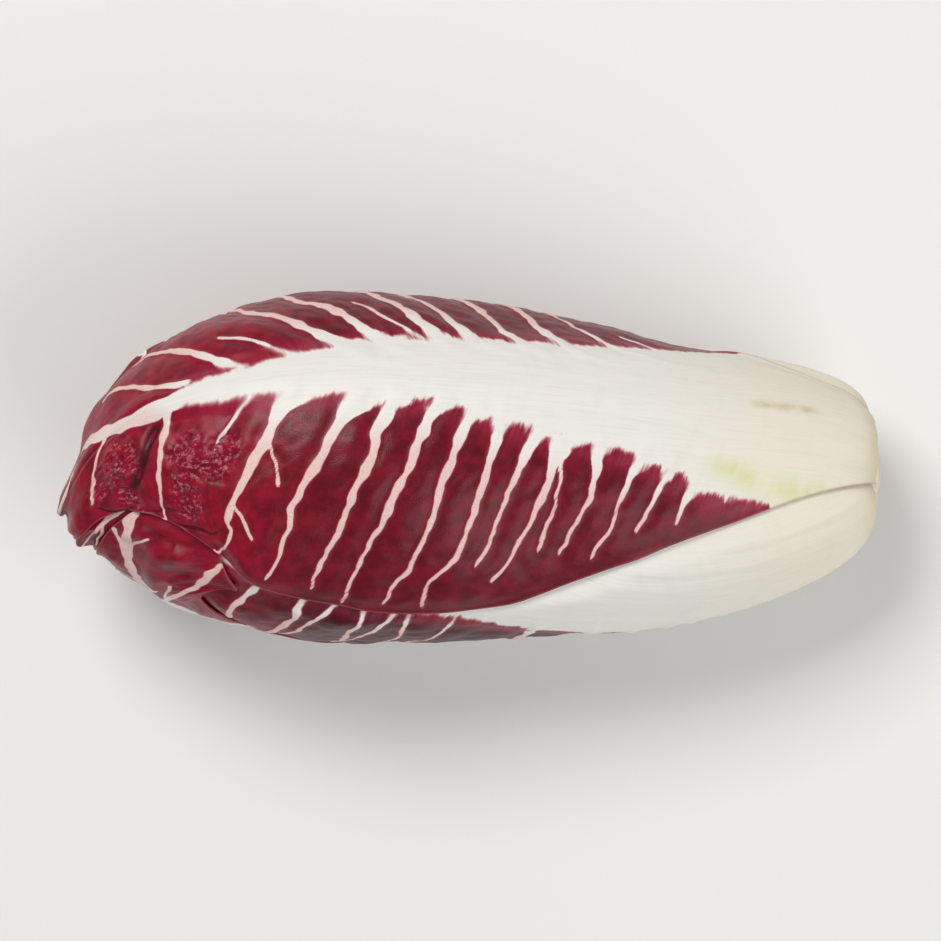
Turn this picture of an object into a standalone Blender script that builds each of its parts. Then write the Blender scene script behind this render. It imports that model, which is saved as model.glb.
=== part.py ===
"""A head of red Belgian endive, lying on its side: a stem core and the leaves wrapped round it.

Units are metres. In the world, +X runs towards the cut base, -X towards the tip, and +Z is up.
The head is first laid out in its own coordinates: the distance back from the tip along the
surface, the turn about the long axis, and the depth below the outer surface. The leaves are
placed from the outside in, each one just under those already there.
"""

import math

import bmesh
import bpy
import numpy as np

# The head's outer form
HEAD_LENGTH = 0.161
HEAD_RADIUS = 0.0360
WIDEST_AT = 0.102  # from the cut base
BASE_RIM_SHARE = 0.28  # radius of the cut rim, as a share of the head's radius
BASE_ROUNDING, BASE_FULLNESS = 1.4, 0.45
TIP_FULLNESS = 0.60
BASE_SPINE = 0.92  # how far the depth lines lean at the base, where 1 is square to the axis
TIP_SPINE = 0.60
# The head isn't straight: heights above the cut, with how far its axis lies towards -Y there
BOW = (
    (0.0, 0.0004), (0.013, 0.0017), (0.033, 0.0030), (0.051, 0.0024), (0.076, 0.0008),
    (0.100, 0.0), (0.135, 0.0), (0.147, 0.0006), (0.154, 0.0028), (0.161, 0.0070),
)

# The pose in which it lies
REST_TILT = math.radians(5.5)  # the tip is raised, so that the belly lies level
HEIGHT_SHARE = 0.93  # the head sags a little under its own weight
SETTLE = 0.0027  # how far the belly gives way to the surface
FLAT_SPOT_RISE = 0.0005  # what is still lower than this is pressed flat

# The leaves
LEAF_COUNT = 13
FIRST_LEAF_TURN = math.radians(57)  # from +Y towards +Z
DIVERGENCE = math.radians(-137.5)
FULL_HALF_WIDTH = 0.054
TIP_STEP = 0.0030  # each leaf ends this much before the one outside it
BASE_START = 0.0018  # the leaves stand on the core's foot
BASE_STEP = 0.0024  # each inner leaf grows this much higher up the core
BLADE_THICKNESS = 0.0011
RIB_THICKNESS = 0.0050
LEAF_GAP = 0.0009
RIB_SPREAD = 1.15  # the thick rib reaches past its white, by this factor
RIB_LIMIT = 0.97  # and never past this share of the leaf's half-width
SHELL_STEP = 0.0017  # how much deeper each inner leaf sits, at the widest place
FIRST_SUNK, FULLY_SUNK = 3, 7  # between these leaves the depth step comes in
SUNK_STARTS, SUNK_FULL = 0.10, 0.45  # and between these shares of a leaf's length
INNER_SLIMMING = 0.45  # how much less wide and thick the innermost leaf is
SLANT = 0.36  # the side veins lean towards the tip by this share of the width
SEED = 7

# What stands out of a leaf's surface: heights, and the lengths of the irregular waves
RELIEF_ROOM = 0.0015  # kept free for it below the outer form
RIB_CROWN = 0.0010
VEIN_PLEAT = 0.0005
SWAY, SWAY_LENGTH = 0.0006, 0.030  # soft waves over the blade
CRUMPLE, CRUMPLE_LENGTH = 0.0008, 0.011  # at the leaf's tip
RUFFLE, RUFFLE_LENGTH = 0.0008, 0.024  # along its edges

# The outer leaves: the turn from the rule's place in degrees, the widths of the leaf and of its
# rib as shares of the full ones, how far the tip reaches past the head's, and the midline's
# sideways drift at each of the shares of the leaf's length. The second leaf is slim, and its
# tip folds over the head's side.
DRIFT_PLACES = (0.0, 0.25, 0.5, 0.85, 1.0)
OUTER_LEAVES = (
    (0, 1.00, 1.00, 0.0050, (0.0, -0.001, 0.001, 0.000, -0.002)),
    (-57, 0.60, 1.00, 0.0160, (0.0, 0.000, -0.001, -0.025, -0.031)),
    (8, 1.00, 1.22, 0.0020, (0.0, -0.004, -0.013, -0.014, -0.008)),
    (0, 0.98, 1.00, 0.0080, (0.0, 0.000, 0.000, -0.005, -0.006)),
    (48, 1.00, 1.00, 0.0120, (0.0, 0.000, 0.000, 0.000, 0.000)),
)
STRAIGHT = (0.0, 0.0, 0.0, 0.0, 0.0)
# Where a leaf goes over from crossing the tip to following the rings of the head
RING_BLEND = (0.010, 0.065)
FLUSH_LEAVES = 5  # the outer leaves were cut flush with the stem

# Shares of the leaf's length, with shares of the full half-width
LEAF_OUTLINE = (
    (0.0, 0.18), (0.14, 0.37), (0.30, 0.66), (0.45, 0.94), (0.56, 0.98), (0.66, 0.88),
    (0.76, 0.67), (0.86, 0.43), (0.93, 0.29), (0.98, 0.16), (1.0, 0.04),
)
# Shares of the leaf's length, with the white rib's half-width in metres
RIB_OUTLINE = (
    (0.0, 0.0105), (0.12, 0.0155), (0.25, 0.0150), (0.38, 0.0122), (0.50, 0.0088),
    (0.62, 0.0062), (0.76, 0.0036), (0.88, 0.0018), (1.0, 0.0006),
)
# Shares of the leaf's length, with shares of the rib's full thickness
RIB_DEPTH = (
    (0.0, 0.22), (0.08, 0.74), (0.18, 1.0), (0.40, 0.72), (0.60, 0.42), (0.80, 0.18), (1.0, 0.0),
)

# Rows along a leaf and points across it: the outer leaves show, and the inner ones are hidden
SHOWN_LEAVES, SHOWN_MESH = 3, (34, 17)
MIDDLE_LEAVES, MIDDLE_MESH = 6, (24, 13)
INNER_MESH = (17, 9)
RED_STARTS = 0.125  # below this share of the length a leaf is white from edge to edge
FIRST_VEIN, LAST_VEIN = 0.17, 0.95
VEIN_COUNT = 14
VEIN_SPREAD = 1.25  # above 1, the veins are further apart towards the tip
BASE_ROWS, TIP_ROWS = 4, (0.985, 1.0)
EDGE_CROWDING = 0.8  # above 0, the points across a leaf are closer together at its edges

# The stem core: distance from the cut, radius. Its foot is the cut face, and the leaves stand
# on the foot's cone.
CORE_OUTLINE = (
    (0.0, 0.0080), (0.0006, 0.0087), (0.0018, 0.0088), (0.0046, 0.0053), (0.009, 0.0052),
    (0.020, 0.0045), (0.036, 0.0032), (0.052, 0.0018), (0.058, 0.0006),
)
CORE_STEPS = 32

# The layering map: steps along the head and round it, and how far a leaf's bulge spreads
MAP_ALONG, MAP_ROUND = 190, 180
BULGE_SPREAD = 0.0022


def smooth_step(low, high, at):
    """0 before low, 1 after high, and a soft ramp between them."""
    share = np.clip((at - low) / (high - low), 0, 1)
    return share * share * (3 - 2 * share)


def smooth_through(points, at):
    """Reads a smooth curve through (place, value) points."""
    places, values = np.array(points, float).T
    slopes = np.gradient(values, places)
    first = np.clip(np.searchsorted(places, at) - 1, 0, len(places) - 2)
    span = places[first + 1] - places[first]
    f = np.clip((at - places[first]) / span, 0, 1)
    start = (1 + 2 * f) * (1 - f) ** 2 * values[first] + f * (1 - f) ** 2 * span * slopes[first]
    end = f * f * (3 - 2 * f) * values[first + 1] + f * f * (f - 1) * span * slopes[first + 1]
    return start + end


def ripple(x, y, wavelength, seed):
    """Soft irregular waves over a plane, from about -1 to 1."""
    rng = np.random.default_rng(seed)
    total = 0.0
    for _ in range(5):
        heading = rng.uniform(0, math.pi)
        turn = 2 * math.pi / (wavelength * rng.uniform(0.75, 1.4))
        phase = rng.uniform(0, 2 * math.pi)
        total = total + np.sin((x * math.cos(heading) + y * math.sin(heading)) * turn + phase)
    return total / 2.6


class HeadForm:
    """The egg-shaped outer surface, and the lines that run from it into the head."""

    def __init__(self):
        sweep = np.linspace(0, 1, 900)
        turn = np.sin(sweep * math.pi / 2)  # closer points where the outline turns sharply
        base_part = (1 - turn[::-1] ** BASE_ROUNDING) ** BASE_FULLNESS
        base_radius = HEAD_RADIUS * (BASE_RIM_SHARE + (1 - BASE_RIM_SHARE) * base_part)
        base_height = WIDEST_AT * (1 - turn[::-1])
        tip_radius = HEAD_RADIUS * (1 - turn**2) ** TIP_FULLNESS
        tip_height = WIDEST_AT + (HEAD_LENGTH - WIDEST_AT) * turn
        self.height = np.concatenate([base_height, tip_height[1:]])
        self.radius = np.concatenate([base_radius, tip_radius[1:]])
        run = np.hypot(np.diff(self.height), np.diff(self.radius))
        self.from_base = np.concatenate([[0], np.cumsum(run)])
        self.reach = self.from_base[-1]
        tip_share = (self.radius[len(base_radius) - 1 :] / HEAD_RADIUS)[::-1]
        self.polar = np.arcsin(np.clip(tip_share, 0, 1))  # 0 at the tip, a quarter turn at the widest
        self.polar_from_tip = (self.reach - self.from_base[len(base_radius) - 1 :])[::-1]
        lowest = self.height * math.sin(REST_TILT) - self.radius * HEIGHT_SHARE * math.cos(REST_TILT)
        self.belly = lowest.min() + SETTLE

    def outline_at(self, from_tip):
        """Height above the cut and radius, this far back from the tip along the surface."""
        place = self.reach - np.clip(from_tip, 0, self.reach)
        return (
            np.interp(place, self.from_base, self.height),
            np.interp(place, self.from_base, self.radius),
        )

    def spine_at(self, height):
        """Where on the axis the depth line from this height ends."""
        past = np.clip((height - WIDEST_AT) / (HEAD_LENGTH - WIDEST_AT), 0, 1)
        lean = BASE_SPINE - (BASE_SPINE - TIP_SPINE) * past**2
        return WIDEST_AT + (height - WIDEST_AT) * lean

    def full_depth(self, from_tip):
        height, radius = self.outline_at(from_tip)
        return np.hypot(height - self.spine_at(height), radius)

    def settled_depth(self, from_tip, turn):
        """How far the surface under the head pushes it in, along the lines into the head."""
        height, radius = self.outline_at(from_tip)
        spine = self.spine_at(height)
        low = height * math.sin(REST_TILT)
        low = low + radius * np.sin(turn) * HEIGHT_SHARE * math.cos(REST_TILT)
        share = (self.belly - low) / np.maximum(spine * math.sin(REST_TILT) - low, 0.001)
        return np.clip(share, 0, 1) * np.hypot(height - spine, radius)

    def chart(self, along, across, turn):
        """Turns a leaf's own distances into distance from the tip and turn about the axis.

        along is the distance from the tip on the leaf's midline, negative once past the tip.
        From there, across is the distance square to the midline. The tip is charted as a
        drawn-out half ball, so that a leaf can cross it, and the rest as rings.
        """
        _, radius = self.outline_at(np.abs(along))
        ahead = np.sign(along) * np.interp(np.abs(along), self.polar_from_tip, self.polar)
        aside = across / HEAD_RADIUS
        polar = np.arccos(np.cos(ahead) * np.cos(aside))
        over_tip = np.interp(polar, self.polar, self.polar_from_tip)
        turned = np.arctan2(np.sin(aside), np.sin(ahead) * np.cos(aside))
        ringed = smooth_step(*RING_BLEND, along)
        ring_turn = across / np.maximum(radius, HEAD_RADIUS * BASE_RIM_SHARE)
        from_tip = (1 - ringed) * over_tip + ringed * along
        return from_tip, turn + (1 - ringed) * turned + ringed * ring_turn

    def point(self, from_tip, turn, depth):
        """The place in the head's own frame: tip towards -X, and the axis at the height of 0."""
        height, radius = self.outline_at(from_tip)
        spine = self.spine_at(height)
        share = depth / np.hypot(height - spine, radius)
        height = height + (spine - height) * share
        radius = radius * (1 - share)
        return np.stack([-height, radius * np.cos(turn), radius * np.sin(turn)], axis=-1)


class Layers:
    """How deep the head is already filled, over its whole surface."""

    def __init__(self, form):
        self.form = form
        self.step = form.reach / (MAP_ALONG - 1)
        from_tip = np.arange(MAP_ALONG) * self.step
        turn = np.arange(MAP_ROUND) * 2 * math.pi / MAP_ROUND
        self.filled = form.settled_depth(from_tip[:, None], turn[None, :])
        _, radius = form.outline_at(from_tip)
        ring_step = 2 * math.pi / MAP_ROUND * np.maximum(radius, 0.0005)
        self.reach_round = np.clip(np.ceil(BULGE_SPREAD / ring_step), 1, MAP_ROUND // 2).astype(int)
        self.reach_along = max(1, round(BULGE_SPREAD / self.step))

    def over_the_tip(self, rows):
        """The map with some rows added past the tip, where it goes on down the far side."""
        beyond = np.roll(self.grid[1 : rows + 1][::-1], MAP_ROUND // 2, axis=1)
        behind = np.repeat(self.grid[-1:], rows, axis=0)
        return np.concatenate([beyond, self.grid, behind])

    def swept(self, combine):
        """Combines every place with its neighbours within the bulge's spread."""
        rows = self.reach_along
        wide = self.over_the_tip(rows)
        spans = [wide[i : i + MAP_ALONG] for i in range(2 * rows + 1)]
        self.grid = combine(spans)
        for row in range(MAP_ALONG):
            reach = self.reach_round[row]
            line = np.tile(self.grid[row], 3)
            windows = np.lib.stride_tricks.sliding_window_view(line, 2 * reach + 1)
            start = MAP_ROUND - reach
            self.grid[row] = combine(windows[start : start + MAP_ROUND].T)

    def floor_for_next(self):
        """A smooth depth that clears all that is filled: widened first, then averaged."""
        self.grid = self.filled.copy()
        self.swept(lambda parts: np.max(parts, axis=0))
        self.swept(lambda parts: np.mean(parts, axis=0))
        return self.grid

    def cells(self, from_tip, turn):
        row = from_tip / self.step
        column = (turn / (2 * math.pi)) % 1 * MAP_ROUND
        return row, column

    def read(self, grid, from_tip, turn):
        row, column = self.cells(from_tip, turn)
        row = np.clip(row, 0, MAP_ALONG - 1.001)
        low_row, low_column = row.astype(int), column.astype(int) % MAP_ROUND
        f, g = row - low_row, column % 1
        next_column = (low_column + 1) % MAP_ROUND
        near = grid[low_row, low_column] * (1 - g) + grid[low_row, next_column] * g
        far = grid[low_row + 1, low_column] * (1 - g) + grid[low_row + 1, next_column] * g
        return near * (1 - f) + far * f

    def fill(self, from_tip, turn, depth):
        row, column = self.cells(from_tip, turn)
        row = np.clip(np.rint(row), 0, MAP_ALONG - 1).astype(int)
        column = np.rint(column).astype(int) % MAP_ROUND
        np.maximum.at(self.filled, (row, column), depth)


class Leaf:
    """One leaf: where it grows, its outline, and its inner and outer surfaces."""

    def __init__(self, index, form):
        slim = 1 - INNER_SLIMMING * index / (LEAF_COUNT - 1)
        self.index = index
        self.form = form
        hidden = (0, slim, slim, (len(OUTER_LEAVES) - 1 - index) * TIP_STEP, STRAIGHT)
        shown = index < len(OUTER_LEAVES)
        nudge, width, self.rib_width, overlap, self.drift = OUTER_LEAVES[index] if shown else hidden
        self.turn = FIRST_LEAF_TURN + index * DIVERGENCE + math.radians(nudge)
        self.tip = -overlap
        self.base = form.reach - BASE_START - max(0, index - FLUSH_LEAVES + 1) * BASE_STEP
        self.length = self.base - self.tip
        self.width = FULL_HALF_WIDTH * width
        self.rib_depth = slim

    def half_width(self, share):
        return self.width * smooth_through(LEAF_OUTLINE, share)

    def rib_half_width(self, share):
        return self.rib_width * smooth_through(RIB_OUTLINE, share)

    def spread(self, row, side):
        """Where a row's points lie: share of the length, and distance across the leaf.

        row is the row's place on the midline, from 0 at the base to 1 at the tip. The row leans
        towards the tip as it runs out, as the side veins do. side is -1 to 1.
        """
        lean = SLANT * self.half_width(row) * np.abs(side) ** 1.25 / self.length
        share = row + lean * smooth_step(0, 0.2, row) * np.minimum(1, (1 - row) * 6)
        share = np.minimum(share, 1)
        return share, side * self.half_width(share)

    def lay_out(self, row, side):
        share, across = self.spread(row, side)
        along = self.tip + self.length * (1 - share)
        bend = smooth_through(tuple(zip(DRIFT_PLACES, self.drift)), share)
        from_tip, turn = self.form.chart(along, across + bend, self.turn)
        return share, across, from_tip, turn

    def thickness(self, share, across):
        """The blade's thickness, and on the rib the rib's, which thins out to the leaf's edge."""
        rib = RIB_THICKNESS * self.rib_depth * smooth_through(RIB_DEPTH, share)
        edge = np.minimum(self.rib_half_width(share) * RIB_SPREAD, self.half_width(share) * RIB_LIMIT)
        crown = np.clip(1 - (across / edge) ** 2, 0, 1) ** 0.8
        return BLADE_THICKNESS + rib * crown

    def relief(self, row, share, across, exposed):
        """How far the surface stands out: the rib's crown, the veins' pleats and the ruffles."""
        across_rib = np.abs(across) / self.rib_half_width(share)
        length = share * self.length
        waves = SEED + 100 * self.index
        crown = RIB_CROWN * np.exp(-(across_rib**2)) * (1 - smooth_step(0.8, 1, share))
        past = np.clip((row - FIRST_VEIN) / (LAST_VEIN - FIRST_VEIN), 0, None)
        vein = VEIN_COUNT * past ** (1 / VEIN_SPREAD)
        pleat = VEIN_PLEAT * np.cos(2 * math.pi * vein)
        sway = SWAY * ripple(length, across, SWAY_LENGTH, waves)
        in_blade = smooth_step(0.9, 1.6, across_rib) * smooth_step(FIRST_VEIN, 0.25, share)
        crumple = CRUMPLE * ripple(length, across, CRUMPLE_LENGTH, waves + 1)
        near_tip = smooth_step(0.80, 0.93, share)
        ruffle = RUFFLE * (1 + ripple(length, 0, RUFFLE_LENGTH, waves + 2)) / 2
        at_edge = smooth_step(0.80, 1, np.abs(across) / self.half_width(share))
        return (crown + (pleat + sway) * in_blade + crumple * near_tip + ruffle * at_edge) * exposed

    def depths(self, layers, floor, row, side):
        """Distance from the tip, turn, and the depths of the outer and the inner surface."""
        share, across, from_tip, turn = self.lay_out(row, side)
        step = SHELL_STEP * self.form.full_depth(from_tip) / HEAD_RADIUS
        step = step * smooth_step(SUNK_STARTS, SUNK_FULL, share)
        sunk = self.index * step * smooth_step(FIRST_SUNK, FULLY_SUNK, self.index)
        under = np.maximum(layers.read(floor, from_tip, turn), sunk)
        exposed = 1 - smooth_step(0.0001, RELIEF_ROOM * 0.6, under)
        outer = under + RELIEF_ROOM - self.relief(row, share, across, exposed)
        return from_tip, turn, outer, outer + self.thickness(share, across)


def leaf_rows(count):
    """Places of the rows along a leaf: rib only, then a row on each vein and one between."""
    at_base = np.linspace(0, FIRST_VEIN, BASE_ROWS + 1)[:-1]
    spread = np.linspace(0, 1, count - BASE_ROWS - len(TIP_ROWS)) ** VEIN_SPREAD
    over_veins = FIRST_VEIN + (LAST_VEIN - FIRST_VEIN) * spread
    return np.concatenate([at_base, over_veins, TIP_ROWS])


def lay_down(points):
    """Bows the head, sags it and raises its tip a little."""
    bowed = points - smooth_through(BOW, -points[..., :1]) * (0, 1, 0)
    squashed = bowed * (1, 1, HEIGHT_SHARE)
    sine, cosine = math.sin(REST_TILT), math.cos(REST_TILT)
    x = squashed[..., 0] * cosine + squashed[..., 2] * sine
    z = -squashed[..., 0] * sine + squashed[..., 2] * cosine
    return np.stack([x, squashed[..., 1], z], axis=-1)


def leaf_mesh(leaf, layers, floor, size):
    """A closed solid between the leaf's outer and inner surface, as a loft of its rows."""
    count_along, count_across = size
    bend = EDGE_CROWDING * math.pi / 2
    side = np.sin(np.linspace(-bend, bend, count_across)) / math.sin(bend)
    row, side = np.meshgrid(leaf_rows(count_along), side, indexing="ij")
    from_tip, turn, outer, inner = leaf.depths(layers, floor, row, side)
    outside = lay_down(leaf.form.point(from_tip, turn, outer))
    inside = lay_down(leaf.form.point(from_tip, turn, inner))
    share, across = leaf.spread(row, side)
    on_rib = (np.abs(across) < leaf.rib_half_width(share) * 1.1) | (share < RED_STARTS)

    made = bmesh.new()
    upper = [[made.verts.new(p) for p in line] for line in outside]
    lower = [[made.verts.new(p) for p in line] for line in inside]
    for i in range(count_along - 1):
        for j in range(count_across - 1):
            material = 1 if on_rib[i, j] and on_rib[i, j + 1] else 0
            for a, b, c in (((i, j), (i + 1, j), (i + 1, j + 1)), ((i, j), (i + 1, j + 1), (i, j + 1))):
                top = made.faces.new([upper[a[0]][a[1]], upper[b[0]][b[1]], upper[c[0]][c[1]]])
                under = made.faces.new([lower[a[0]][a[1]], lower[c[0]][c[1]], lower[b[0]][b[1]]])
                top.material_index = under.material_index = material
                top.smooth = under.smooth = True
    rim = [(i, 0) for i in range(count_along)]
    rim += [(count_along - 1, j) for j in range(1, count_across)]
    rim += [(i, count_across - 1) for i in range(count_along - 2, -1, -1)]
    rim += [(0, j) for j in range(count_across - 2, 0, -1)]
    for (i, j), (m, n) in zip(rim, rim[1:] + rim[:1]):
        edge = made.faces.new([upper[i][j], lower[i][j], lower[m][n], upper[m][n]])
        edge.material_index = 1 if on_rib[i, j] else 0
    bmesh.ops.recalc_face_normals(made, faces=made.faces)
    mesh = bpy.data.meshes.new(f"leaf_{leaf.index + 1:02d}")
    made.to_mesh(mesh)
    made.free()
    return mesh


def note_leaf(leaf, layers, floor):
    """Marks on the map the room that the leaf takes, down to the gap below it."""
    row, side = np.meshgrid(np.linspace(0, 1, 420), np.linspace(-1, 1, 260), indexing="ij")
    from_tip, turn, _, inner = leaf.depths(layers, floor, row, side)
    layers.fill(from_tip, turn, inner + LEAF_GAP - RELIEF_ROOM)


def material(name, colour, roughness):
    made = bpy.data.materials.new(name)
    made.use_nodes = True
    shader = made.node_tree.nodes["Principled BSDF"]
    shader.inputs["Base Color"].default_value = (*colour, 1.0)
    shader.inputs["Roughness"].default_value = roughness
    shader.inputs["Metallic"].default_value = 0.0
    return made


def mesh_size(index):
    if index < SHOWN_LEAVES:
        return SHOWN_MESH
    return MIDDLE_MESH if index < MIDDLE_LEAVES else INNER_MESH


def add_leaves(collection, form):
    red = material("red_blade", (0.150, 0.012, 0.026), 0.42)
    white = material("white_rib", (0.78, 0.76, 0.68), 0.38)
    layers = Layers(form)
    for index in range(LEAF_COUNT):
        leaf = Leaf(index, form)
        floor = layers.floor_for_next()
        mesh = leaf_mesh(leaf, layers, floor, mesh_size(index))
        mesh.materials.append(red)
        mesh.materials.append(white)
        made = bpy.data.objects.new(mesh.name, mesh)
        collection.objects.link(made)
        note_leaf(leaf, layers, floor)


def add_core(collection):
    """The cut stem, which runs up inside the head as a slim cone."""
    turns = np.arange(CORE_STEPS) * 2 * math.pi / CORE_STEPS
    made = bmesh.new()
    rings = []
    for height, radius in CORE_OUTLINE:
        circle = [(-height, radius * math.cos(turn), radius * math.sin(turn)) for turn in turns]
        rings.append([made.verts.new(p) for p in lay_down(np.array(circle))])
    for ring, above in zip(rings, rings[1:]):
        for i in range(CORE_STEPS):
            made.faces.new([ring[i - 1], ring[i], above[i], above[i - 1]])
    made.faces.new(rings[0])
    made.faces.new(rings[-1])
    bmesh.ops.recalc_face_normals(made, faces=made.faces)
    mesh = bpy.data.meshes.new("stem_core")
    made.to_mesh(mesh)
    made.free()
    mesh.materials.append(material("stem", (0.70, 0.63, 0.45), 0.6))
    collection.objects.link(bpy.data.objects.new("stem_core", mesh))


def press_flat(leaves):
    """Makes the spot that the head lies on flat, where the leaves reach lowest."""
    lowest = min(vertex.co.z for leaf in leaves for vertex in leaf.data.vertices)
    for leaf in leaves:
        for vertex in leaf.data.vertices:
            vertex.co.z = max(vertex.co.z, lowest + FLAT_SPOT_RISE)


def centre_on_floor(collection):
    """Moves the object so that the middle of its underside is at the origin."""
    bpy.context.view_layer.update()
    graph = bpy.context.evaluated_depsgraph_get()
    corners = []
    for made in collection.objects:
        mesh = made.evaluated_get(graph).to_mesh()
        corners += [made.matrix_world @ v.co for v in mesh.vertices]
    corners = np.array(corners)
    low, high = corners.min(axis=0), corners.max(axis=0)
    shift = np.array([-(low[0] + high[0]) / 2, -(low[1] + high[1]) / 2, -low[2]])
    for made in collection.objects:
        made.location = tuple(np.array(made.location) + shift)


for old in list(bpy.data.objects):
    bpy.data.objects.remove(old)
head = bpy.data.collections.new("red_belgian_endive")
bpy.context.scene.collection.children.link(head)
head_form = HeadForm()
add_leaves(head, head_form)
press_flat(head.objects)
add_core(head)
centre_on_floor(head)
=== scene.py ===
"""The looks of a head of red Belgian endive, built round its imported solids.

Each solid leaf is replaced by a fine one on the same layout. The head is laid out in its own
coordinates: the distance back from the tip along the surface, the turn about the long axis, and
the depth below the outer surface. Units are metres.
"""

import math
from types import SimpleNamespace

import bpy
import numpy as np
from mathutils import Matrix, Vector


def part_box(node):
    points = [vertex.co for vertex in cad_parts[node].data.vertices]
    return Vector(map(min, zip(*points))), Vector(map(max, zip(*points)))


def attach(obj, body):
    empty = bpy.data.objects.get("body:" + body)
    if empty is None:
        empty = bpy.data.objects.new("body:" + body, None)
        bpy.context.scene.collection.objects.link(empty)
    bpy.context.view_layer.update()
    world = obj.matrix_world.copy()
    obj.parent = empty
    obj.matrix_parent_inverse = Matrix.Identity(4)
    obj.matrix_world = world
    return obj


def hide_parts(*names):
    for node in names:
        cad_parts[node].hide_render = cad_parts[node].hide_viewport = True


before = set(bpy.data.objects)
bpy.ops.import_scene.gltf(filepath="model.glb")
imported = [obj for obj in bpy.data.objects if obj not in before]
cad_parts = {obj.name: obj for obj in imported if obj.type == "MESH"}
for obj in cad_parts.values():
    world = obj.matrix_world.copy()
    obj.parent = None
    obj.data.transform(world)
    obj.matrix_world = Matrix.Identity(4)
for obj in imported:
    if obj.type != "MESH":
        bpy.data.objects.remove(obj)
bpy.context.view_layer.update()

# The head's outer form, the same as the solids', but for the tip, which bends a little further
HEAD_LENGTH = 0.161
HEAD_RADIUS = 0.0360
WIDEST_AT = 0.102
BASE_RIM_SHARE = 0.28
BASE_ROUNDING, BASE_FULLNESS = 1.4, 0.45
TIP_FULLNESS = 0.60
BASE_SPINE = 0.92
TIP_SPINE = 0.60
OUTLINE_POINTS = 900
BOW = (
    (0.0, 0.0004), (0.013, 0.0017), (0.033, 0.0030), (0.051, 0.0024), (0.076, 0.0008),
    (0.100, 0.0), (0.135, 0.0), (0.147, 0.0006), (0.152, 0.0028), (0.156, 0.0066), (0.161, 0.0125),
)
REST_TILT = math.radians(5.5)
HEIGHT_SHARE = 0.93
SETTLE = 0.0027

# The leaves, the same as the solids'
LEAF_COUNT = 13
FIRST_LEAF_TURN = math.radians(57)
DIVERGENCE = math.radians(-137.5)
FULL_HALF_WIDTH = 0.054
TIP_STEP = 0.0030
BASE_STEP = 0.0024
RIB_THICKNESS = 0.0050
RIB_SPREAD = 1.15
RIB_LIMIT = 0.97
SHELL_STEP = 0.0017
FIRST_SUNK, FULLY_SUNK = 3, 7
SUNK_STARTS, SUNK_FULL = 0.10, 0.45
INNER_SLIMMING = 0.45
SLANT = 0.36
SEED = 7
RELIEF_ROOM = 0.0015
RIB_CROWN = 0.0010
SWAY, SWAY_LENGTH = 0.0006, 0.030
CRUMPLE, CRUMPLE_LENGTH = 0.0008, 0.011
RUFFLE, RUFFLE_LENGTH = 0.0008, 0.024
# Of each outer leaf: its nudge in degrees, the shares of its width and of its rib's, how far it
# laps over the tip, and how far it drifts aside at the drift's places
DRIFT_PLACES = (0.0, 0.25, 0.5, 0.85, 1.0)
OUTER_LEAVES = (
    (0, 1.00, 1.00, 0.0050, (0.0, -0.001, 0.001, 0.000, -0.002)),
    (-57, 0.60, 1.00, 0.0160, (0.0, 0.000, -0.001, -0.025, -0.031)),
    (8, 1.00, 1.22, 0.0020, (0.0, -0.004, -0.013, -0.014, -0.008)),
    (0, 0.98, 1.00, 0.0080, (0.0, 0.000, 0.000, -0.005, -0.006)),
    (48, 1.00, 1.00, 0.0120, (0.0, 0.000, 0.000, 0.000, 0.000)),
)
STRAIGHT = (0.0, 0.0, 0.0, 0.0, 0.0)
# How much each leaf's red is darkened by painted shade, for the leaves that lie in shade under the first
# one
SHADE_DARKENING, HIDDEN_SHADE_DARKENING = (0.0, 0.35, 0.85, 0.2, 0.2), 0.3
RING_BLEND = (0.010, 0.065)
FLUSH_LEAVES = 5
# Half-widths and depths along a leaf: share of its length from the base, then the value
LEAF_OUTLINE = (
    (0.0, 0.18), (0.14, 0.37), (0.30, 0.66), (0.45, 0.94), (0.56, 0.98), (0.66, 0.88),
    (0.76, 0.67), (0.86, 0.43), (0.93, 0.29), (0.98, 0.16), (1.0, 0.04),
)
RIB_OUTLINE = (
    (0.0, 0.0105), (0.12, 0.0155), (0.25, 0.0150), (0.38, 0.0122), (0.50, 0.0088),
    (0.62, 0.0062), (0.76, 0.0036), (0.88, 0.0018), (1.0, 0.0006),
)
RIB_DEPTH = (
    (0.0, 0.22), (0.08, 0.74), (0.18, 1.0), (0.40, 0.72), (0.60, 0.42), (0.80, 0.18), (1.0, 0.0),
)
# The solid core: height above the cut, then radius
CORE_OUTLINE = (
    (0.0, 0.0080), (0.0006, 0.0087), (0.0018, 0.0088), (0.0046, 0.0053), (0.009, 0.0052),
    (0.020, 0.0045), (0.036, 0.0032), (0.052, 0.0018), (0.058, 0.0006),
)
CORE_STEPS = 32

# Where the fine leaves differ: thinner at their edges, and closer to each other and to the foot
BLADE_THICKNESS = 0.0009
EDGE_THICKNESS = 0.0005
EDGE_WIDTH = 0.0045
LEAF_GAP = 0.0004
BASE_START = 0.0013
DROOP_WIDTH, MOST_DROOP, TOUCHING = 0.006, 0.0045, 0.00025
MAP_ALONG, MAP_ROUND = 300, 300
LEAST_RADIUS = 0.0005
BULGE_SPREAD = 0.0018
# The third leaf and those under it are wider: by what share, at what place, and how far along
WIDER_FROM = 2
WIDENINGS = ((0.13, 0.09, 0.09), (0.13, 0.84, 0.13))
# One margin of the second leaf is narrower, from the one place to the other
SECOND_LEAF_TRIM = 0.42
TRIM_STARTS, TRIM_STOPS = (0.20, 0.38), (0.87, 0.76)

# Fine meshes: rows along a leaf and points across it, and the number of leaves that it serves up to
FINE_MESHES = (((390, 236), 3), ((330, 170), 5), ((90, 50), LEAF_COUNT))
# The plainer inner surface, and how near it comes to the leaf's tip and edges
INSIDE_MESH, INSIDE_ENDS = (60, 28), (0.995, 0.95)
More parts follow.
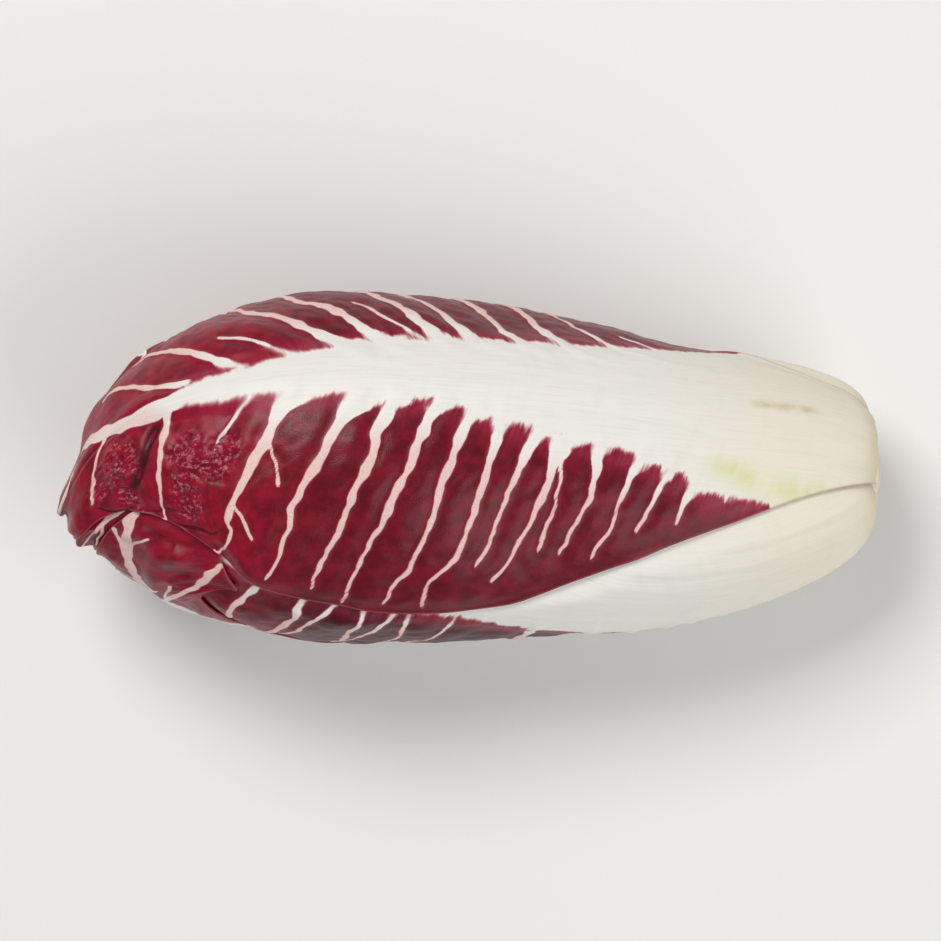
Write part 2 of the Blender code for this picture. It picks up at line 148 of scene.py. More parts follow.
# Grids that are only worked out: to note the room that a leaf takes, and to find places on it
NOTED_GRID, SEARCHED_GRID = (700, 420), (420, 320)
# How near a place on a leaf has to be to one in the picture, and how near to the topmost one
FOUND_WITHIN, FOUND_BELOW_TOP = 0.0004, 0.0006
# The leaf's rounded edge: shares of its thickness, and where the bands on the inner surface lie
LIP_SHARES, LIP_DRAWS = (0.35, 0.75, 1.0), (0.97, 0.90)
# How far apart in the noises' space the leaves lie, so that no two have the same pattern
FLAT_APART, GRAIN_APART = 0.031, 0.047

# Shares between which relief starts: of the rib's half-width, twice of the length, of the leaf's
# half-width
PAST_RIB, PAST_BASE, NEAR_TIP, NEAR_EDGE = (0.9, 1.6), (0.17, 0.25), (0.80, 0.93), (0.80, 1)
# Layers of bumps: height, shares of the distances along and across, width of a bump, and seed
PUCKERS = ((0.00034, 1.0, 0.7, 0.0062, 3), (0.00013, 1.0, 1.0, 0.0026, 4))
FLUTES = (
    (0.00016, 0.06, 1.0, 0.0036, 7), (0.00004, 0.12, 1.0, 0.0013, 8), (0.00028, 0.6, 1.0, 0.014, 9),
)
SHARP_FOLDS = ((0.0013, 1.0, 0.8, 0.0050, 5), (0.0009, 1.0, 1.2, 0.0026, 6))
FINE_FOLDS = ((0.0003, 1.0, 1.0, 0.0014, 12),)
FOLD_WARP = ((0.0016, 1.0, 1.0, 0.0042, 10),)
BROKEN_UP = ((0.40, 1.0, 1.0, 0.0050, 41),)
VEIN_WOBBLES = (((0.00045, 1.0, 1.0, 0.0045, 21),), ((0.00020, 1.0, 1.0, 0.0017, 22),))
VEIN_SIDE_WOBBLE = ((0.00016, 1.0, 1.0, 0.0030, 23),)

# The rib closes towards the tip, and near the base the whole leaf is as pale as the rib
RIB_ENDS, RIB_CLOSING = (0.74, 0.82), 0.009
PALE_BASE, PALE_RISE = (0.155, 0.115), 0.02
RIB_BLEND = 0.0006

# The value where no vein is near, and how far from a vein's path its values are worked out
NO_VEIN, VEIN_REACH = -0.006, 0.008
# A vein's least half-width, how it ends, how uneven it is, and how it widens where it leaves the rib
LEAST_VEIN, VEIN_END, VEIN_TAPER = 0.00035, 0.0011, 0.0018
UNEVEN, UNEVEN_LENGTH, UNEVEN_SEED = 0.20, 0.0045, 31
FLARE, FLARE_LENGTH = 0.35, 0.0022
BASE_SIDE_FLARE, BASE_SIDE_FLARE_LENGTH = 1.6, 0.0032
# The ridge over a vein and the valley round it, which fade inside the rib
RIDGE, FULL_RIDGE_AT, RIDGE_MARGIN = 0.00034, 0.0007, 0.00015
VALLEY, FULL_VALLEY_AT, VALLEY_WIDTH = 0.00034, 0.0004, 0.0024

# The foot: points round it, rings on the cut, the rim past the leaves, and how high the cut stands
FOOT_SPOKES, CUT_RINGS, RIM_MARGIN, CUT_HEIGHT = 220, 60, 0.0003, 0.0002
# Over how many points the rim is averaged, and the greatest radius of the solid core
RIM_AVERAGED, CORE_RADIUS = 9, 0.0088
# The foot's rounded rim: height, share of the radius, and how much of the cut's look it has
FOOT_EDGE = ((0.0002, 0.935, 0.8), (0.0006, 0.98, 0.4), (0.0011, 1.0, 0.1), (0.0022, 0.99, 0.0))
# The grooves in the cut, where the leaves part: count, first radius, step inwards, and form
GROOVES, GROOVE_RADIUS, GROOVE_STEP = 9, 0.0100, 0.00095
GROOVE_BEND, GROOVE_WIDTH, GROOVE_DEPTH = 0.0015, 0.00020, 0.00022

# Veins where the picture shows none: how many on a side, from where, over what share, and the last
GROWN_COUNT, GROWN_FROM, GROWN_SPAN, GROWN_LAST = 15, 0.19, 0.76, 0.955
GROWN_INSIDE, GROWN_STEPS = -0.12, 12
GROWN_WIDTH, GROWN_END, GROWN_ROOT, GROWN_WOBBLE = 0.00100, 0.00018, 0.6, 0.00032
BRANCH_WIDTH, BRANCH_END = 0.00028, 0.00017
# Shares of the second and third leaf's length where none grow, by side
SECOND_LEAF_BARE = {-1: (0.70, 1.0), 1: (0.86, 1.0)}
THIRD_LEAF_BARE = {1: (0.45, 0.80)}

# The picture's scale and middle, for places that were read off it in its own pixels
PICTURE_SCALE = 0.160 / 331
PICTURE_MIDDLE = (681.5, 287.75)

# Veins read off the picture: half-widths in millimetres at the start and the end, then the path
FIRST_LEAF_VEINS = (
    (0.95, 0.62, "611,257 606,264 603,272 600,279 595,287 591,295 588,303 586,308"),
    (0.34, 0.22, "587,305 586,309 588,312 585,319 580,324 576,325"),
    (0.14, 0.08, "602,276 605,282 606,288 606,294"),
    (0.12, 0.08, "589,301 593,308 596,315"),
    (0.88, 0.3, "636,260 630,268 627,274 624,281 620,288 616,294 614,298 611,302 611,308 609,315 "
                "606,322 604,327 601,331"),
    (0.85, 0.26, "652,258 648,266 645,272 644,279 641,287 637,295 634,302 631,310 627,317 623,324 "
                 "620,331 618,335"),
    (0.8, 0.18, "671,258 666,264 664,270 661,277 659,284 655,291 651,299 648,307 644,314 640,320 "
                "636,328 633,336 631,341"),
    (0.75, 0.2, "684,262 680,268 677,276 674,284 670,291 669,299 666,308 662,317 659,325 655,330 "
                "650,334 647,341"),
    (0.75, 0.2, "695,263 693,268 691,275 690,283 687,290 685,298 682,307 679,316 676,322 671,327 "
                "665,332 663,337 663,343"),
    (0.7, 0.14, "709,270 705,277 702,284 698,292 695,300 692,307 690,314 687,320 683,326"),
    (0.66, 0.14, "716,278 713,287 709,300 705,308 700,318 696,325 690,332"),
    (0.3, 0.1, "717,284 717,290 716,296 714,305 711,313 708,320"),
    (0.62, 0.14, "733,276 731,283 731,291 729,298 725,305 720,314 716,321"),
    (0.6, 0.12, "749,281 745,289 742,297 739,303 737,309 733,316 729,323"),
    (0.45, 0.1, "762,284 758,291 755,298 751,305 747,312"),
    (0.55, 0.1, "770,291 768,297 765,302 762,309"),
    (0.2, 0.1, "784,294 783,300"),
    (1.1, 0.6, "634,240 624,235 615,230 607,226.5 600,225 593,224.5"),
    (0.95, 0.5, "652,239 645,236 637,230 630,225 623,221.5 614,220"),
    (0.3, 0.2, "668,238 658,233 650,228 642,223.5 635,220"),
    (0.9, 0.5, "672,238 666,233 660,227 653,221.5 646,218.5"),
    (0.85, 0.45, "690,239 683,236 676,230 669,223.5 662,219"),
    (0.8, 0.4, "706,239 700,236 693,230 686,223.5 680,219.5"),
    (0.75, 0.4, "724,240 716,236 709,230.5 703,224.5 698,221"),
    (0.5, 0.3, "748,241 738,237.5 730,233 722,228.5"),
    (0.35, 0.2, "764,241 752,237 742,233.5"),
)
FIRST_TIP_VEINS = (
    (0.6, 0.2, "562,264 561,272 560,280 559,288 560,296 560,303 561,309 557,315 555,321"),
    (0.34, 0.2, "537,272 534,279 532,287 531,295 531,302"),
    (0.2, 0.12, "595,259 589,267 584,274 581,281"),
    (0.8, 0.3, "570,253 562,254 554,255 546,254 539,255 534,260"),
    (0.75, 0.35, "592,247 583,245 575,242 568,240 560,239.5 552,241 545,244"),
    (0.5, 0.2, "614,243 606,240 598,237 590,235 581,235"),
)
SECOND_LEAF_VEINS = (
    (0.6, 0.3, "545,319 541,315 538,311"),
    (0.42, 0.24, "545,319 550,317 554,315"),
    (0.8, 0.6, "555,342 562,340 570,336 577,331 583,326.5"),
    (0.13, 0.08, "582,327 588,324.5"),
    (0.3, 0.14, "559,341 561,337 562,334"),
)
THIRD_LEAF_VEINS = (
    (0.5, 0.5, "606,327 600,332 596,335 591,339 586,343.5 580,347.5 574,349.5"),
    (0.45, 0.6, "622,330 618,336 614,341 611,347 605,352 600,356"),
    (0.3, 0.4, "632,337 626,343 619,348.5 611,353 604,356.5"),
    (0.3, 0.5, "641,343 636,350 631,355 627,359 620,361"),
    (0.4, 0.3, "652,343 648,348 643,350.5"),
    (0.3, 0.35, "658,345 655,350 652,356 646,360 640,361"),
    (0.3, 0.2, "676,343 674,350 669,354 664,358"),
)
# The first rib's edges, and the thin ends of both ribs, which are given as veins are
FIRST_RIB_ABOVE = "777,240 760,239 739,238 699,237 655,236 620,240 604,243.5 592,248 581,251"
FIRST_RIB_BELOW = (
    "803,302 785,298 772,296 767,289 757,286 745,281 732,276 714,273 705,270 691,267 679,263 670,259 "
    "650,258 634,257 611,256 594,258 578,262"
)
FIRST_RIB_END = (
    1.9, 0.4,
    "598,250.5 590,251.5 580,254 570,258 560,263 550,268 540,272 530,275.5 525,280 523,286 521,294 "
    "518,301 516,306",
)
SECOND_RIB_END = (
    1.15, 0.95,
    "592,355 583,352.5 574,349.5 566,347 558,343 553,338.5 549,333 546,327 544.5,320 545,314 546,308 "
    "548,303",
)
# How an edge goes on past the places read: over what share of the length, how far out, and in
PAST_RIB_EDGE, ABOVE_BENDS_OUT, BELOW_BENDS_OUT, BENDS_IN = 0.06, 0.007, 0.004, 0.001
# Read half-widths are made greater by these factors, and from the least one on a vein flares
START_WIDER, END_WIDER, LEAST_FLARED = 1.3, 1.2, 0.4
# Where a flaring vein starts inside the rib: how far towards the base, and how far inwards
ROOT_BACK, ROOT_INWARDS = 0.011, 0.0022
# Rows of the picture near the head's outline: veins that end past them go on out of sight
UPPER_OUTLINE_ROW, LOWER_OUTLINE_ROW = 250, 342
# The steps in which they go on, and how far from the leaf's edge they stop
CARRY_ASIDE, CARRY_AHEAD, CARRY_MARGIN = 0.0035, 0.0016, 0.002
# Sharp folds: depth and half-width in millimetres, then the path
CREASES = (
    (0.85, 1.1, "562,265 559,269 556,274 554,280 552,287 549,294 546,300"),
    (0.5, 0.5, "531,302 536,306 542,309 548,307"),
    (0.5, 0.6, "561,309 567,311 574,311 581,314 586,309"),
    (0.4, 0.5, "548,305 556,306 562,303 570,305 577,309"),
)
CREASE_TAPERS = (0.25, 0.2)
# Marks and the crumpled patches between the folds: place and radius in the picture
GREEN_MARKS = ((784, 287, 5), (794, 291, 6), (803, 295, 7), (812, 297, 6), (822, 297, 4))
BROWN_MARKS = ((800, 261.5, 3.2), (808, 262.5, 3.4), (816, 263.5, 2.8))
CRUMPLED = ((541, 284, 15), (571, 284, 15), (584, 282, 15), (571, 300, 14), (546, 300, 10), (534, 296, 10))
# How much closer than it is a place counts, along and across, which makes a mark long and slim
GREEN_SHARES, BROWN_SHARES = (0.55, 1.2), (0.5, 1.6)
# A patch is whole within the first share of its radius, and gone past the second
PATCH_EDGE = (0.25, 1.1)

# Colours as a screen shows them, from 0 to 255
COLOURS = {
    "blade": (94, 3, 20), "lighter blade": (120, 4, 30), "cells": (76, 3, 14), "streaks": (84, 3, 18),
    # The darkest blade red here is painted shade, for the leaves that lie under the first one
    "blade in painted shade": (58, 1, 8), "near the rib": (156, 40, 66), "near a vein": (140, 26, 48),
    # The near-black red here is painted shade in the creases
    # The pale pink here is painted glints on the crumpled patches
    "rosy tip": (150, 8, 42), "flecks": (206, 112, 134), "folds": (42, 3, 8),
    "lower rib": (228, 221, 200), "upper rib": (229, 226, 219), "rib's foot": (214, 200, 168),
    "fibres": (211, 206, 192), "rib's shade": (206, 202, 184), "green marks": (206, 209, 140),
    "brown marks": (186, 164, 120), "veins": (226, 196, 188), "darker veins": (214, 170, 166),
    "rib's edge": (186, 118, 124), "veins' edge": (176, 96, 102), "leaf's edge": (186, 116, 118),
    "cut": (222, 208, 176), "browner cut": (208, 188, 148), "cut's spots": (186, 158, 116),
    "grooves": (150, 112, 72), "stem": (226, 218, 196),
}

# Lights: place, side of the square, power and colour
LIGHTS = {
    "key": ((-0.30, 0.45, 0.80), 0.40, 5.6, (1.0, 0.985, 0.96)),
    "fill": ((0.60, -0.50, 0.60), 0.80, 4.7, (0.98, 0.985, 1.0)),
}
LIT_PLACE = (0, 0, 0.03)
ROOM_COLOUR, ROOM_POWER = (0.95, 0.97, 1.0, 1.0), 0.37
FLOOR_COLOUR, FLOOR_REACH = (0.80, 0.79, 0.77, 1.0), 3
CAMERA_HEIGHT, CAMERA_LENS, CAMERA_SENSOR, CAMERA_NEAR = 1.048, 200, 36, 0.05


def smooth_step(low, high, at):
    """0 before low, 1 after high, and a soft ramp between them."""
    share = np.clip((at - low) / (high - low), 0, 1)
    return share * share * (3 - 2 * share)


def smooth_through(points, at):
    """Reads a smooth curve through (place, value) points."""
    known, values = np.array(points, float).T
    slopes = np.gradient(values, known)
    first = np.clip(np.searchsorted(known, at) - 1, 0, len(known) - 2)
    span = known[first + 1] - known[first]
    f = np.clip((at - known[first]) / span, 0, 1)
    start = (1 + 2 * f) * (1 - f) ** 2 * values[first] + f * (1 - f) ** 2 * span * slopes[first]
    end = f * f * (3 - 2 * f) * values[first + 1] + f * f * (f - 1) * span * slopes[first + 1]
    return start + end


def hump(at, width):
    """1 at 0, and softly down to 0 on both sides, past about twice the width."""
    return np.exp(-((at / width) ** 2))


def ripple(x, y, wavelength, seed):
    """Soft irregular waves over a plane, from about -1 to 1."""
    rng = np.random.default_rng(seed)
    total = 0.0
    for _ in range(5):
        heading = rng.uniform(0, math.pi)
        turn = math.tau / (wavelength * rng.uniform(0.75, 1.4))
        phase = rng.uniform(0, math.tau)
        total = total + np.sin((x * math.cos(heading) + y * math.sin(heading)) * turn + phase)
    return total / 2.6


def bumps(x, y, cell, seed):
    """Gradient noise over a plane, from about -1 to 1, with bumps as wide as the cell."""
    angles = np.random.default_rng(seed).uniform(0, math.tau, (64, 64))
    x, y = np.broadcast_arrays(x / cell, y / cell)
    column, row = np.floor(x).astype(int), np.floor(y).astype(int)
    f, g = x - column, y - row
    total = 0.0
    for a in (0, 1):
        for b in (0, 1):
            angle = angles[(column + a) % 64, (row + b) % 64]
            weight = smooth_step(1, 0, np.abs(f - a)) * smooth_step(1, 0, np.abs(g - b))
            total = total + weight * (np.cos(angle) * (f - a) + np.sin(angle) * (g - b))
    return total * 1.6


def grid(size, row_end=1.0, side_end=1.0):
    """Rows along a leaf, as shares of its length, and places across it, from -1 to 1."""
    rows, sides = np.linspace(0, row_end, size[0]), np.linspace(-side_end, side_end, size[1])
    return np.meshgrid(rows, sides, indexing="ij")


class HeadForm:
    """The egg-shaped outer surface, and the lines that run from it into the head."""

    def __init__(self):
        sweep = np.linspace(0, 1, OUTLINE_POINTS)
        turn = np.sin(sweep * math.pi / 2)
        base_part = (1 - turn[::-1] ** BASE_ROUNDING) ** BASE_FULLNESS
        base_radius = HEAD_RADIUS * (BASE_RIM_SHARE + (1 - BASE_RIM_SHARE) * base_part)
        base_height = WIDEST_AT * (1 - turn[::-1])
        tip_radius = HEAD_RADIUS * (1 - turn**2) ** TIP_FULLNESS
        tip_height = WIDEST_AT + (HEAD_LENGTH - WIDEST_AT) * turn
        self.height = np.concatenate([base_height, tip_height[1:]])
        self.radius = np.concatenate([base_radius, tip_radius[1:]])
        run = np.hypot(np.diff(self.height), np.diff(self.radius))
        self.from_base = np.concatenate([[0], np.cumsum(run)])
        self.reach = self.from_base[-1]
        tip_share = (self.radius[len(base_radius) - 1 :] / HEAD_RADIUS)[::-1]
        self.polar = np.arcsin(np.clip(tip_share, 0, 1))
        self.polar_from_tip = (self.reach - self.from_base[len(base_radius) - 1 :])[::-1]
        lowest = self.height * math.sin(REST_TILT) - self.radius * HEIGHT_SHARE * math.cos(REST_TILT)
        self.belly = lowest.min() + SETTLE

    def outline_at(self, from_tip):
        """Height above the cut and radius, this far back from the tip along the surface."""
        place = self.reach - np.clip(from_tip, 0, self.reach)
        height = np.interp(place, self.from_base, self.height)
        return height, np.interp(place, self.from_base, self.radius)

    def spine_at(self, height):
        """Where on the axis the depth line from this height ends."""
        past = np.clip((height - WIDEST_AT) / (HEAD_LENGTH - WIDEST_AT), 0, 1)
        lean = BASE_SPINE - (BASE_SPINE - TIP_SPINE) * past**2
        return WIDEST_AT + (height - WIDEST_AT) * lean

    def full_depth(self, from_tip):
        height, radius = self.outline_at(from_tip)
        return np.hypot(height - self.spine_at(height), radius)

    def settled_depth(self, from_tip, turn):
        """How far the surface under the head pushes it in, along the lines into the head."""
        height, radius = self.outline_at(from_tip)
        spine = self.spine_at(height)
        low = height * math.sin(REST_TILT)
        low = low + radius * np.sin(turn) * HEIGHT_SHARE * math.cos(REST_TILT)
        share = (self.belly - low) / np.maximum(spine * math.sin(REST_TILT) - low, 0.001)
        return np.clip(share, 0, 1) * np.hypot(height - spine, radius)

    def chart(self, along, across, turn):
        """Turns a leaf's own distances into distance from the tip and turn about the axis."""
        _, radius = self.outline_at(np.abs(along))
        ahead = np.sign(along) * np.interp(np.abs(along), self.polar_from_tip, self.polar)
        aside = across / HEAD_RADIUS
        polar = np.arccos(np.cos(ahead) * np.cos(aside))
        over_tip = np.interp(polar, self.polar, self.polar_from_tip)
        turned = np.arctan2(np.sin(aside), np.sin(ahead) * np.cos(aside))
        ringed = smooth_step(*RING_BLEND, along)
        ring_turn = across / np.maximum(radius, HEAD_RADIUS * BASE_RIM_SHARE)
        from_tip = (1 - ringed) * over_tip + ringed * along
        return from_tip, turn + (1 - ringed) * turned + ringed * ring_turn

    def point(self, from_tip, turn, depth):
        """The place in the head's own frame: tip towards -X, and the axis at the height of 0."""
        height, radius = self.outline_at(from_tip)
        spine = self.spine_at(height)
        share = depth / np.hypot(height - spine, radius)
        height = height + (spine - height) * share
        radius = radius * (1 - share)
        return np.stack([-height, radius * np.cos(turn), radius * np.sin(turn)], axis=-1)


class Layers:
    """How deep the head is already filled, over its whole surface."""

    def __init__(self, form):
        self.form = form
        self.step = form.reach / (MAP_ALONG - 1)
        from_tip = np.arange(MAP_ALONG) * self.step
        turn = np.arange(MAP_ROUND) * math.tau / MAP_ROUND
        self.filled = form.settled_depth(from_tip[:, None], turn[None, :])
        _, radius = form.outline_at(from_tip)
        ring_step = math.tau / MAP_ROUND * np.maximum(radius, LEAST_RADIUS)
        self.reach_round = np.clip(np.ceil(BULGE_SPREAD / ring_step), 1, MAP_ROUND // 2).astype(int)
        self.reach_along = max(1, round(BULGE_SPREAD / self.step))

    def over_the_tip(self, rows):
        """The map with some rows added past the tip, where it goes on down the far side."""
        beyond = np.roll(self.grid[1 : rows + 1][::-1], MAP_ROUND // 2, axis=1)
        behind = np.repeat(self.grid[-1:], rows, axis=0)
        return np.concatenate([beyond, self.grid, behind])

    def swept(self, combine):
        """Combines every place with its neighbours within the bulge's spread."""
        rows = self.reach_along
        wide = self.over_the_tip(rows)
        spans = [wide[i : i + MAP_ALONG] for i in range(2 * rows + 1)]
        self.grid = combine(spans)
        for row in range(MAP_ALONG):
            reach = self.reach_round[row]
            line = np.tile(self.grid[row], 3)
            windows = np.lib.stride_tricks.sliding_window_view(line, 2 * reach + 1)
            start = MAP_ROUND - reach
            self.grid[row] = combine(windows[start : start + MAP_ROUND].T)

    def floor_for_next(self):
        """A smooth depth that clears all that is filled: widened first, then averaged."""
        self.grid = self.filled.copy()
        self.swept(lambda parts: np.max(parts, axis=0))
        self.swept(lambda parts: np.mean(parts, axis=0))
        return self.grid

    def read(self, grid, from_tip, turn):
        row = np.clip(from_tip / self.step, 0, MAP_ALONG - 1.001)
        column = (turn / math.tau) % 1 * MAP_ROUND
        low_row, low_column = row.astype(int), column.astype(int) % MAP_ROUND
        f, g = row - low_row, column % 1
        next_column = (low_column + 1) % MAP_ROUND
        near = grid[low_row, low_column] * (1 - g) + grid[low_row, next_column] * g
        far = grid[low_row + 1, low_column] * (1 - g) + grid[low_row + 1, next_column] * g
        return near * (1 - f) + far * f

    def cell(self, from_tip, turn):
        row = np.clip(np.rint(from_tip / self.step), 0, MAP_ALONG - 1).astype(int)
        column = np.rint((turn / math.tau) % 1 * MAP_ROUND).astype(int) % MAP_ROUND
        return row, column

    def fill(self, from_tip, turn, depth):
        np.maximum.at(self.filled, self.cell(from_tip, turn), depth)

    def mapped(self, from_tip, turn, depth):
        """A map of one surface, with no number where it isn't."""
        surface = np.full(self.filled.shape, np.nan)
        np.fmin.at(surface, self.cell(from_tip, turn), depth)
        return surface

    def joined(self, surfaces):
        """The first surface below, over the whole map, softened and with its holes filled."""
        surface = np.fmin.reduce([np.full(self.filled.shape, np.nan), *surfaces])
        for _ in range(4):
            around = [np.roll(surface, way, axis=1) for way in (-1, 1)]
            around.append(np.concatenate([surface[1:], surface[-1:]]))
            around.append(np.concatenate([surface[:1], surface[:-1]]))
            known = np.isfinite(around)
            total = np.where(known, around, 0).sum(axis=0)
            mean = total / np.maximum(known.sum(axis=0), 1)
            mean = np.where(known.any(axis=0), mean, np.nan)
            surface = np.where(np.isfinite(surface), (surface + mean) / 2, mean)
        return np.where(np.isfinite(surface), surface, 0.0)


def lay_down(points):
    """Bows the head sideways, flattens it a little and raises its tip."""
    bowed = points - smooth_through(BOW, -points[..., :1]) * (0, 1, 0)
    squashed = bowed * (1, 1, HEIGHT_SHARE)
    sine, cosine = math.sin(REST_TILT), math.cos(REST_TILT)
    x = squashed[..., 0] * cosine + squashed[..., 2] * sine
    z = -squashed[..., 0] * sine + squashed[..., 2] * cosine
    return np.stack([x, squashed[..., 1], z], axis=-1)


def solids_shift():
    """How far the solids were moved to stand on the floor, read off the core's box."""
    turns = np.arange(CORE_STEPS) * math.tau / CORE_STEPS
    rings = [
        [(-height, radius * math.cos(turn), radius * math.sin(turn)) for turn in turns]
        for height, radius in CORE_OUTLINE
    ]
    placed = lay_down(np.array(rings))
    return np.array(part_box("stem_core")[0]) - placed.min(axis=(0, 1))


class Leaf:
    """One leaf: where it grows, its outline, its veins, and its surfaces."""

    def __init__(self, index, form):
        slim = 1 - INNER_SLIMMING * index / (LEAF_COUNT - 1)
        self.index = index
        self.form = form
        hidden = (0, slim, slim, (len(OUTER_LEAVES) - 1 - index) * TIP_STEP, STRAIGHT)
        shown = index < len(OUTER_LEAVES)
        nudge, width, self.rib_width, overlap, self.drift = OUTER_LEAVES[index] if shown else hidden
        self.turn = FIRST_LEAF_TURN + index * DIVERGENCE + math.radians(nudge)
        self.tip = -overlap
        self.base = form.reach - BASE_START - max(0, index - FLUSH_LEAVES + 1) * BASE_STEP
        self.length = self.base - self.tip
        self.width = FULL_HALF_WIDTH * width
        self.rib_depth = slim
        self.waves = SEED + 100 * index
        self.edges = {}
        self.trim = SECOND_LEAF_TRIM if index == 1 else 0.0
        self.painted_shade = SHADE_DARKENING[index] if shown else HIDDEN_SHADE_DARKENING
        self.veins, self.creases, self.patches = [], [], []
        self.green_marks, self.brown_marks = [], []

    def half_width(self, share, side=0.0):
        outline = smooth_through(LEAF_OUTLINE, share)
        if self.index >= WIDER_FROM:
            for amount, place, spread in WIDENINGS:
                outline = outline + amount * hump(share - place, spread)
        trimmed = self.trim * smooth_step(*TRIM_STARTS, share) * smooth_step(*TRIM_STOPS, share)
        return self.width * outline * (1 - trimmed * (side < 0))

    def rib_half_width(self, share):
        return self.rib_width * smooth_through(RIB_OUTLINE, share)

    def from_rib(self, share, across):
        """How far inside the rib's edge a place is, in metres, and below 0 outside it."""
        inside = []
        for side in (-1, 1):
            edge = self.rib_half_width(share)
            if side in self.edges:
                edge = np.interp(share, *self.edges[side])
            inside.append(edge - side * across)
        rib = np.minimum(*inside) - RIB_CLOSING * smooth_step(*RIB_ENDS, share)
        return rib + smooth_step(*PALE_BASE, share) * PALE_RISE

    def spread(self, row, side):
        """Where a row's points lie: share of the length, and distance across the leaf."""
        lean = SLANT * self.half_width(row) * np.abs(side) ** 1.25 / self.length
        share = row + lean * smooth_step(0, 0.2, row) * np.minimum(1, (1 - row) * 6)
        share = np.minimum(share, 1)
        return share, side * self.half_width(share, side)

    def lay_out(self, row, side):
        share, across = self.spread(row, side)
        along = self.tip + self.length * (1 - share)
        bend = smooth_through(tuple(zip(DRIFT_PLACES, self.drift)), share)
        from_tip, turn = self.form.chart(along, across + bend, self.turn)
        return share, across, from_tip, turn

    def placed(self, from_tip, turn, depth):
        """The place in the scene, but for the shift to where the solids are."""
        return lay_down(self.form.point(from_tip, turn, depth))

    def thickness(self, share, across):
        """The blade's thickness, and on the rib the rib's, which thins out to the leaf's edge."""
        rib = RIB_THICKNESS * self.rib_depth * smooth_through(RIB_DEPTH, share)
        half = self.half_width(share, across)
        edge = np.minimum(self.rib_half_width(share) * RIB_SPREAD, half * RIB_LIMIT)
        taper = 0.8 + 1.4 * smooth_step(0.40, 0.15, share)
        crown = np.clip(1 - (across / edge) ** 2, 0, 1) ** taper
        at_edge = smooth_step(EDGE_WIDTH, 0.0, half - np.abs(across))
        return BLADE_THICKNESS + (EDGE_THICKNESS - BLADE_THICKNESS) * at_edge + rib * crown

    def layered(self, layers, along, across, sharp=False):
        """The sum of some layers of bumps, with a sharp edge at each one's foot if asked for."""
        total = 0.0
        for height, along_share, across_share, width, seed in layers:
            bumpy = bumps(along * along_share, across * across_share, width, self.waves + seed)
            total = total + height * (np.abs(bumpy) if sharp else bumpy)
        return total

    def relief(self, share, across, exposed, fields):
        """How far the surface stands out: the rib's crown, veins, waves, folds and ruffles."""
        across_rib = np.abs(across) / self.rib_half_width(share)
        length = share * self.length
        crown = RIB_CROWN * hump(across_rib, 1) * (1 - smooth_step(0.8, 1, share))
        sway = SWAY * ripple(length, across, SWAY_LENGTH, self.waves)
        in_blade = smooth_step(*PAST_RIB, across_rib) * smooth_step(*PAST_BASE, share)
        crumple = CRUMPLE * ripple(length, across, CRUMPLE_LENGTH, self.waves + 1)
        near_tip = smooth_step(*NEAR_TIP, share)
        ruffle = RUFFLE * (1 + ripple(length, 0, RUFFLE_LENGTH, self.waves + 2)) / 2
        at_edge = smooth_step(*NEAR_EDGE, np.abs(across) / self.half_width(share, across))
        pucker = self.layered(PUCKERS, length - SLANT * np.abs(across), across)
        total = crown + (sway + pucker) * in_blade + crumple * near_tip + ruffle * at_edge
        flutes = self.layered(FLUTES, length, across)
        total = total + flutes * (1 - in_blade) + fields["ridge"] - fields["valley"]
        warped = length + self.layered(FOLD_WARP, length, across)
        folded = self.layered(SHARP_FOLDS, warped, across, sharp=True)
        folded = folded + self.layered(FINE_FOLDS, warped, across)
        total = total - folded * fields["crumpled"]
        return total * exposed - fields["fold"]

    def depths(self, layers, floor, row, side, fields):
        """Distance from the tip, turn, and the depths of the outer and the inner surface."""
        share, across, from_tip, turn = self.lay_out(row, side)
        step = SHELL_STEP * self.form.full_depth(from_tip) / HEAD_RADIUS
        step = step * smooth_step(SUNK_STARTS, SUNK_FULL, share)
        sunk = self.index * step * smooth_step(FIRST_SUNK, FULLY_SUNK, self.index)
        under = np.maximum(layers.read(floor, from_tip, turn), sunk)
        exposed = 1 - smooth_step(0.0001, RELIEF_ROOM * 0.6, under)
        outer = under + RELIEF_ROOM - self.relief(share, across, exposed, fields)
        smooth = under + RELIEF_ROOM - self.relief(share, across, exposed, NO_FIELDS)
        inner = smooth + self.thickness(share, across)
        return from_tip, turn, outer, inner


NO_FIELDS = {"ridge": 0.0, "valley": 0.0, "crumpled": 0.0, "fold": 0.0}


def near_path(along, across, path):
    """The distance to a path on the leaf, the place along it, its length, and the side."""
    best = np.full(along.shape, 1.0)
    place, turned = np.zeros(along.shape), np.zeros(along.shape)
    run = 0.0
    for (a, b), (c, d) in zip(path, path[1:]):
        span = math.hypot(c - a, d - b)
        if span < 1e-7:
            continue
        t = ((along - a) * (c - a) + (across - b) * (d - b)) / span**2
        t = np.clip(t, 0, 1)
        gap = np.hypot(along - a - t * (c - a), across - b - t * (d - b))
        closer = gap < best
        best = np.where(closer, gap, best)
        place = np.where(closer, run + t * span, place)
        turned = np.where(closer, (c - a) * (across - b) - (d - b) * (along - a), turned)
        run += span
    return best, place, run, turned


